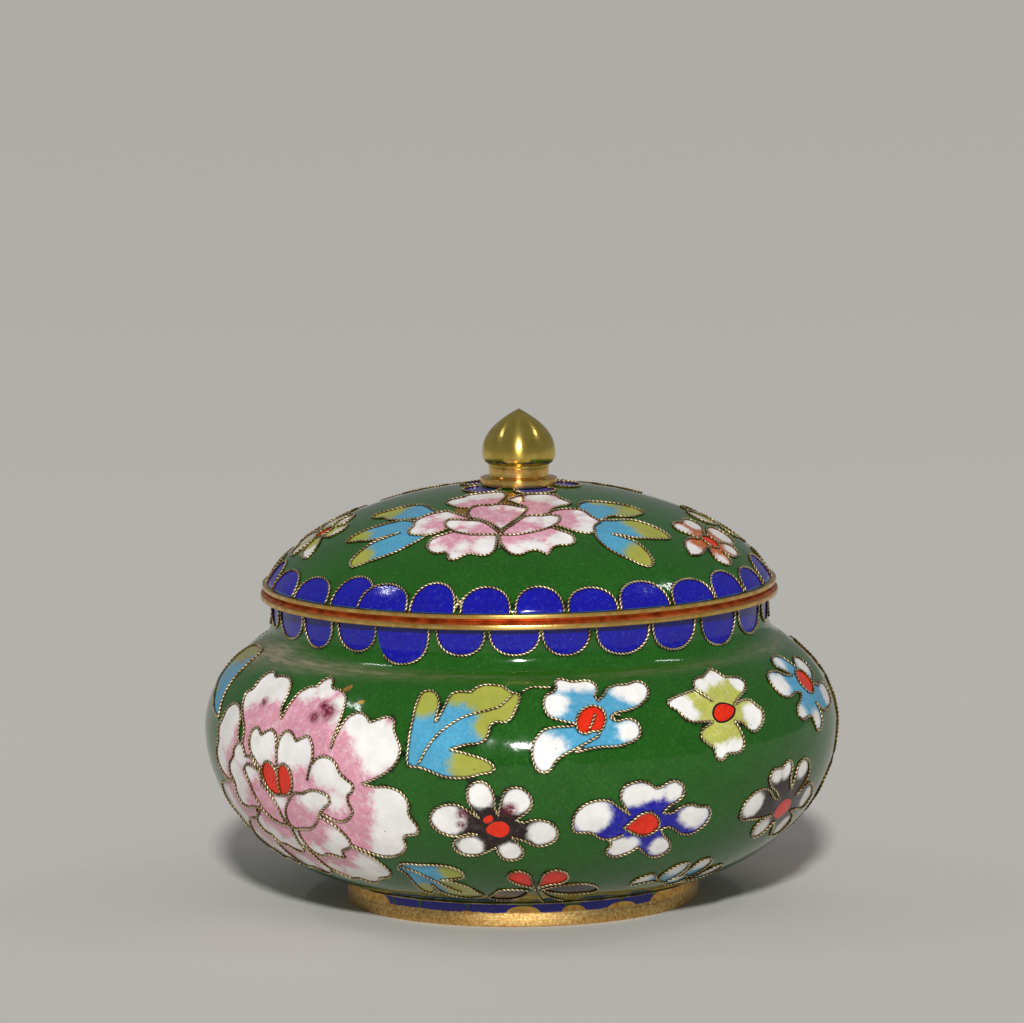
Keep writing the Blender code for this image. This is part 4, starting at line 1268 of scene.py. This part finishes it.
wireEnds = [  # a clump of wire ends between two tongues, and one at the crown
    [(-11, -42.2), (-10.2, -40.9), (-10.5, -39.9)], [(-10.7, -42), (-9.6, -40.9), (-8.5, -40.1)],
    [(-10, -41.9), (-9.7, -41), (-8.9, -40.7)], [(0, -6.4), (.3, -8), (.7, -10.4), (.8, -14)],
]
smallFlowers = [  # the turn of the pattern, scale, place and enamel of each
    (0, 1, (31, -14), "orange"), (0, 1, (-31.5, -5), "lemon"), (180, 1, (31, -14), "blue"),
    (180, 1, (-31.5, -5), "lemon"), (60, .75, (20.5, -6), "blue"), (-60, .75, (-20.5, -6), "maroon"),
]
lidBehind = {"turn": 180, "scale": 0.88, "shift": (0, -6), "swaps": {"pink": "white", "white": "pink"}}
crownCollar = {"first": 21, "lobes": 5, "half": 2.86, "from": 6.3, "reach": 3.5, "fullness": 0.6}


def onRing(angle, ring, rise):  # outwards or inwards from a ring about the lid's axis
    return lambda flat: polarOnDome(math.radians(angle) + flat[:, 0] / ring, ring + rise * flat[:, 1])


def domeCells():
    cells = []
    edge = lid["seatRadius"] + domeLength - skin["inset"]
    for left, right, depth in around(lidTongues):
        half = math.radians((right - left) / 2) * edge
        place = onRing((left + right) / 2, edge, -1)
        cells.append(tongueCell(place, half, depth + lid["edgeLap"], lidTongues["fullness"]))
    for motif in (lidLeavesLeft, lidLeavesRight, lidPeony):
        cells += gathered(atDome(0), motif)[0]
    for bend in wireEnds:
        cells[-1]["wires"].append((bentLine(bend, False), False))
    # the same flower behind, with its enamels swapped, and the outer leaves alone
    outerLeaves = [{"cells": leaves["cells"][1:]} for leaves in (lidLeavesLeft, lidLeavesRight)]
    place = atDome(lidBehind["turn"], lidBehind["scale"], lidBehind["shift"])
    for motif in (*outerLeaves, lidPeony):
        cells += gathered(place, motif, lidBehind["swaps"])[0]
    for turn, scale, shift, enamel in smallFlowers:
        cells += gathered(atDome(turn, scale, shift), lidFlower, {"orange": enamel})[0]
    for i in range(crownCollar["lobes"]):
        place = onRing(crownCollar["first"] + i * 360 / crownCollar["lobes"], crownCollar["from"], 1)
        cells.append(tongueCell(place, crownCollar["half"], crownCollar["reach"], crownCollar["fullness"]))
    return cells


print("patterns of the lid")
lidCells = domeCells()
lidRuns = visibleRuns(lidCells)
lidBorder = polarOnDome(np.arange(steps) * math.tau / steps, lid["seatRadius"] + domeLength)
domeSkin = enamelSkin("domeSkin", lidBorder, lidCells, [], [], lidRuns, onDome)
domeInside = turned("domeInside", domeInsideOutline(), steps)
handShell("enamelledLid", domeSkin, [domeInside], "lid_dome")
handRope("lidWires", lidRuns, onDome)

# Gilt rings

rings = {
    "steps": 256, "softFrom": 30, "smoothTo": 50,  # degrees between faces
    "overhang": 1.6, "clearance": 0.5, "collarWall": 1.0, "collarDrop": 3.6, "grooveDepth": 0.4,
    "copperAbove": 0.45, "copperBelow": 0.55, "copperWide": 1,  # bare copper on both sides of the seam
    "hairline": 0.04,  # from the lid's rest down to the mouth ring, and up to the slope of the rim
    "footDrop": 0.05, "mouthDrop": 0.1, "rimDrop": 0.1,  # short of the enamel beside them
}


def ringPiece(name, outline, node, ease, finish="gilt"):
    piece = turned(name, outline + outline[:1], rings["steps"])
    softenEdges(piece, ease, rings["softFrom"])
    smoothShade(piece, rings["smoothTo"])
    dress(piece, finish, "copper")
    for face in piece.data.polygons:
        outside = math.hypot(*face.center.xy) / mm > rimOuter - rings["copperWide"]
        face.material_index = int(outside and copperBottom < face.center.z / mm < copperTop)
    hand(piece, "gilt_brass", node)


print("gilt rings")
rest, rimOuter = lid["restsAt"], lid["rimRadius"]
copperTop, copperBottom = rest + rings["copperAbove"], rest - rings["copperBelow"]
footOuter = bowl["footRadius"]
footInner = footOuter - bowl["footRingWall"]
footTop = footBandBottom - rings["footDrop"]
mouthBottom = neckTop + bowl["touchGap"] + rings["mouthDrop"]
mouthTop = rest - rings["hairline"]
mouthOuter = bowl["neckRadius"] + rings["overhang"]
groove = rimOuter - rings["grooveDepth"]
collarOuter = mouthRadius - rings["clearance"]
collarInner = collarOuter - rings["collarWall"]
collarBottom = rest - rings["collarDrop"]
rimTop = rest + lid["rimThickness"] - rings["rimDrop"]
ringPiece("footRing", [(footOuter, footTop), (footOuter, 0), (footInner, 0), (footInner, footTop)],
          "jar_foot_ring", 0.25, "grainyGilt")
ringPiece("mouthRing", [(mouthOuter, mouthBottom), (mouthRadius, mouthBottom), (mouthRadius, mouthTop),
                        (groove, mouthTop), (mouthOuter, copperBottom)], "jar_mouth_ring", 0.2)
ringPiece("lidRim", [
    (rimOuter, copperTop), (groove, rest + rings["hairline"]), (groove, rest), (collarOuter, rest),
    (collarOuter, collarBottom), (collarInner, collarBottom), (collarInner, rimTop), (rimOuter, rimTop),
], "lid_rim_ring", 0.12)

# Finial

finial = {
    "flangeRadius": 6.05, "flangeThickness": 1.2, "flangeSlope": 0.3, "neckRadius": 4.7, "neckHeight": 1.45,
    "beadOut": 0.15, "beadHeight": 0.5, "knobRadius": 5.8, "knobTuck": 1.5, "knobPoint": 7.1,
    "fullness": 2.3, "steps": 96, "tuckSteps": 10, "knobSteps": 36, "ease": 0.14, "softFrom": 38,
    "clear": 0.05,  # the underside of the flange stands this far above the enamel
    "lean": 0.8, "aside": 0.15,  # degrees and mm to the right, as it was soldered on
}


def finialOutline():
    top = domeCentre[1] + lid["curveHeight"] * math.sqrt(1 - (lid["seatRadius"] / domeRadius) ** 2)
    seat = top + finial["clear"]
    flangeTop = seat + bowl["touchGap"] - finial["clear"] + finial["flangeThickness"]
    neckEnd = flangeTop + finial["neckHeight"]
    widest = neckEnd + finial["beadHeight"] + finial["knobTuck"]
    neck, bead, knob = finial["neckRadius"], finial["neckRadius"] + finial["beadOut"], finial["knobRadius"]
    flange = finial["flangeRadius"]
    outline = [(flange, seat), (flange, flangeTop - finial["flangeSlope"]), (neck, flangeTop)]
    outline += [(neck, neckEnd), (bead, neckEnd)]
    tuck = (knob - bead, finial["knobTuck"])
    outline += ellipseArc((bead, widest), tuck, -math.pi / 2, 0, finial["tuckSteps"])
    for share in np.linspace(0, 1, finial["knobSteps"])[1:-1]:
        outline.append((knob * (1 - share ** finial["fullness"]), widest + finial["knobPoint"] * share))
    return outline + [(0, widest + finial["knobPoint"])], seat, neckEnd


print("finial")
outline, seat, neckEnd = finialOutline()
knob = turned("finial", outline, finial["steps"])
only(knob)
for vertex in knob.data.vertices:
    vertex.select = vertex.co.z < (seat + finial["clear"]) * mm
bpy.ops.object.mode_set(mode="EDIT")
bpy.ops.mesh.select_mode(type="VERT")
bpy.ops.mesh.extrude_region_move(TRANSFORM_OT_translate={"value": (0, 0, 0)})
bpy.ops.mesh.merge(type="CENTER")
outward(knob)
softenEdges(knob, finial["ease"], finial["softFrom"])
only(knob)
bpy.ops.object.mode_set(mode="EDIT")
bpy.ops.mesh.select_all(action="SELECT")
lean = -math.radians(finial["lean"])
bpy.ops.transform.rotate(value=lean, orient_axis="Y", center_override=(0, 0, seat * mm))
bpy.ops.transform.translate(value=(finial["aside"] * mm, 0, 0))
bpy.ops.object.mode_set(mode="OBJECT")
smoothShade(knob, rings["smoothTo"])
dress(knob, "polished", "warmGilt")
for face in knob.data.polygons:
    face.material_index = int(face.center.z < neckEnd * mm)
hand(knob, "gilt_brass", "lid_finial")

# Floor, lights and camera

studio = {
    "floor": "#d6d3cd", "floorSize": 14, "floorAt": (0, 3, 0), "air": 0.22,
    "keyStrength": 2.8, "keySoftness": 5, "keyHeight": 28,  # a lamp above the camera
    "tubeAt": (0.66, 0.08, 0.85), "tubeSize": (0.02, 0.22), "tubePower": 0.45,  # two ceiling tubes
}
view = {  # found by fitting the solids' outline to the photograph's
    "lens": 251.2, "sensor": 36.0, "nearest": 0.1, "farthest": 30.0,
    "at": (-0.000975, -1.11607, 0.20638), "down": 7.408, "roll": -0.757,
}


def makeFloor():
    # matt studio paper: pale, with no gloss
    material, shader, _ = newMaterial("studioPaper")
    feed(shader, {"Base Color": studio["floor"], "Roughness": 0.9, "Specular IOR Level": 0.1})
    only(None)
    bpy.ops.mesh.primitive_plane_add(size=studio["floorSize"], location=studio["floorAt"])
    floor = bpy.context.object
    floor.name = "studioFloor"
    bpy.ops.object.transform_apply(location=True)
    floor.data.materials.append(material)


def addLight(name, kind, place, turn):
    lamp = bpy.data.lights.new(name, kind)
    light = bpy.data.objects.new(name, lamp)
    bpy.context.scene.collection.objects.link(light)
    light.location = place
    light.rotation_euler = turn
    return lamp


print("studio")
makeFloor()
key = addLight("keyLight", "SUN", (0, -1, 1), (math.radians(90 - studio["keyHeight"]), 0, 0))
key.energy, key.angle = studio["keyStrength"], math.radians(studio["keySoftness"])
for side in (-1, 1):
    x, y, z = studio["tubeAt"]
    tube = addLight("ceilingTube", "AREA", (side * x, y, z), (0, 0, 0))
    tube.shape = "RECTANGLE"
    tube.size, tube.size_y = studio["tubeSize"]
    tube.energy = studio["tubePower"]
world = bpy.data.worlds.new("studioAir")
bpy.context.scene.world = world
world.use_nodes = True
feed(world.node_tree.nodes["Background"], {"Color": (1, 1, 1, 1), "Strength": studio["air"]})
bpy.context.scene.view_settings.view_transform = "Standard"

camera = bpy.data.cameras.new("photoCamera")
camera.lens, camera.sensor_width = view["lens"], view["sensor"]
camera.clip_start, camera.clip_end = view["nearest"], view["farthest"]
eye = bpy.data.objects.new("photoCamera", camera)
bpy.context.scene.collection.objects.link(eye)
tilt = Matrix.Rotation(math.radians(90 - view["down"]), 4, "X")
roll = Matrix.Rotation(math.radians(view["roll"]), 4, "Z")
eye.matrix_world = Matrix.Translation(view["at"]) @ tilt @ roll
bpy.context.scene.camera = eye
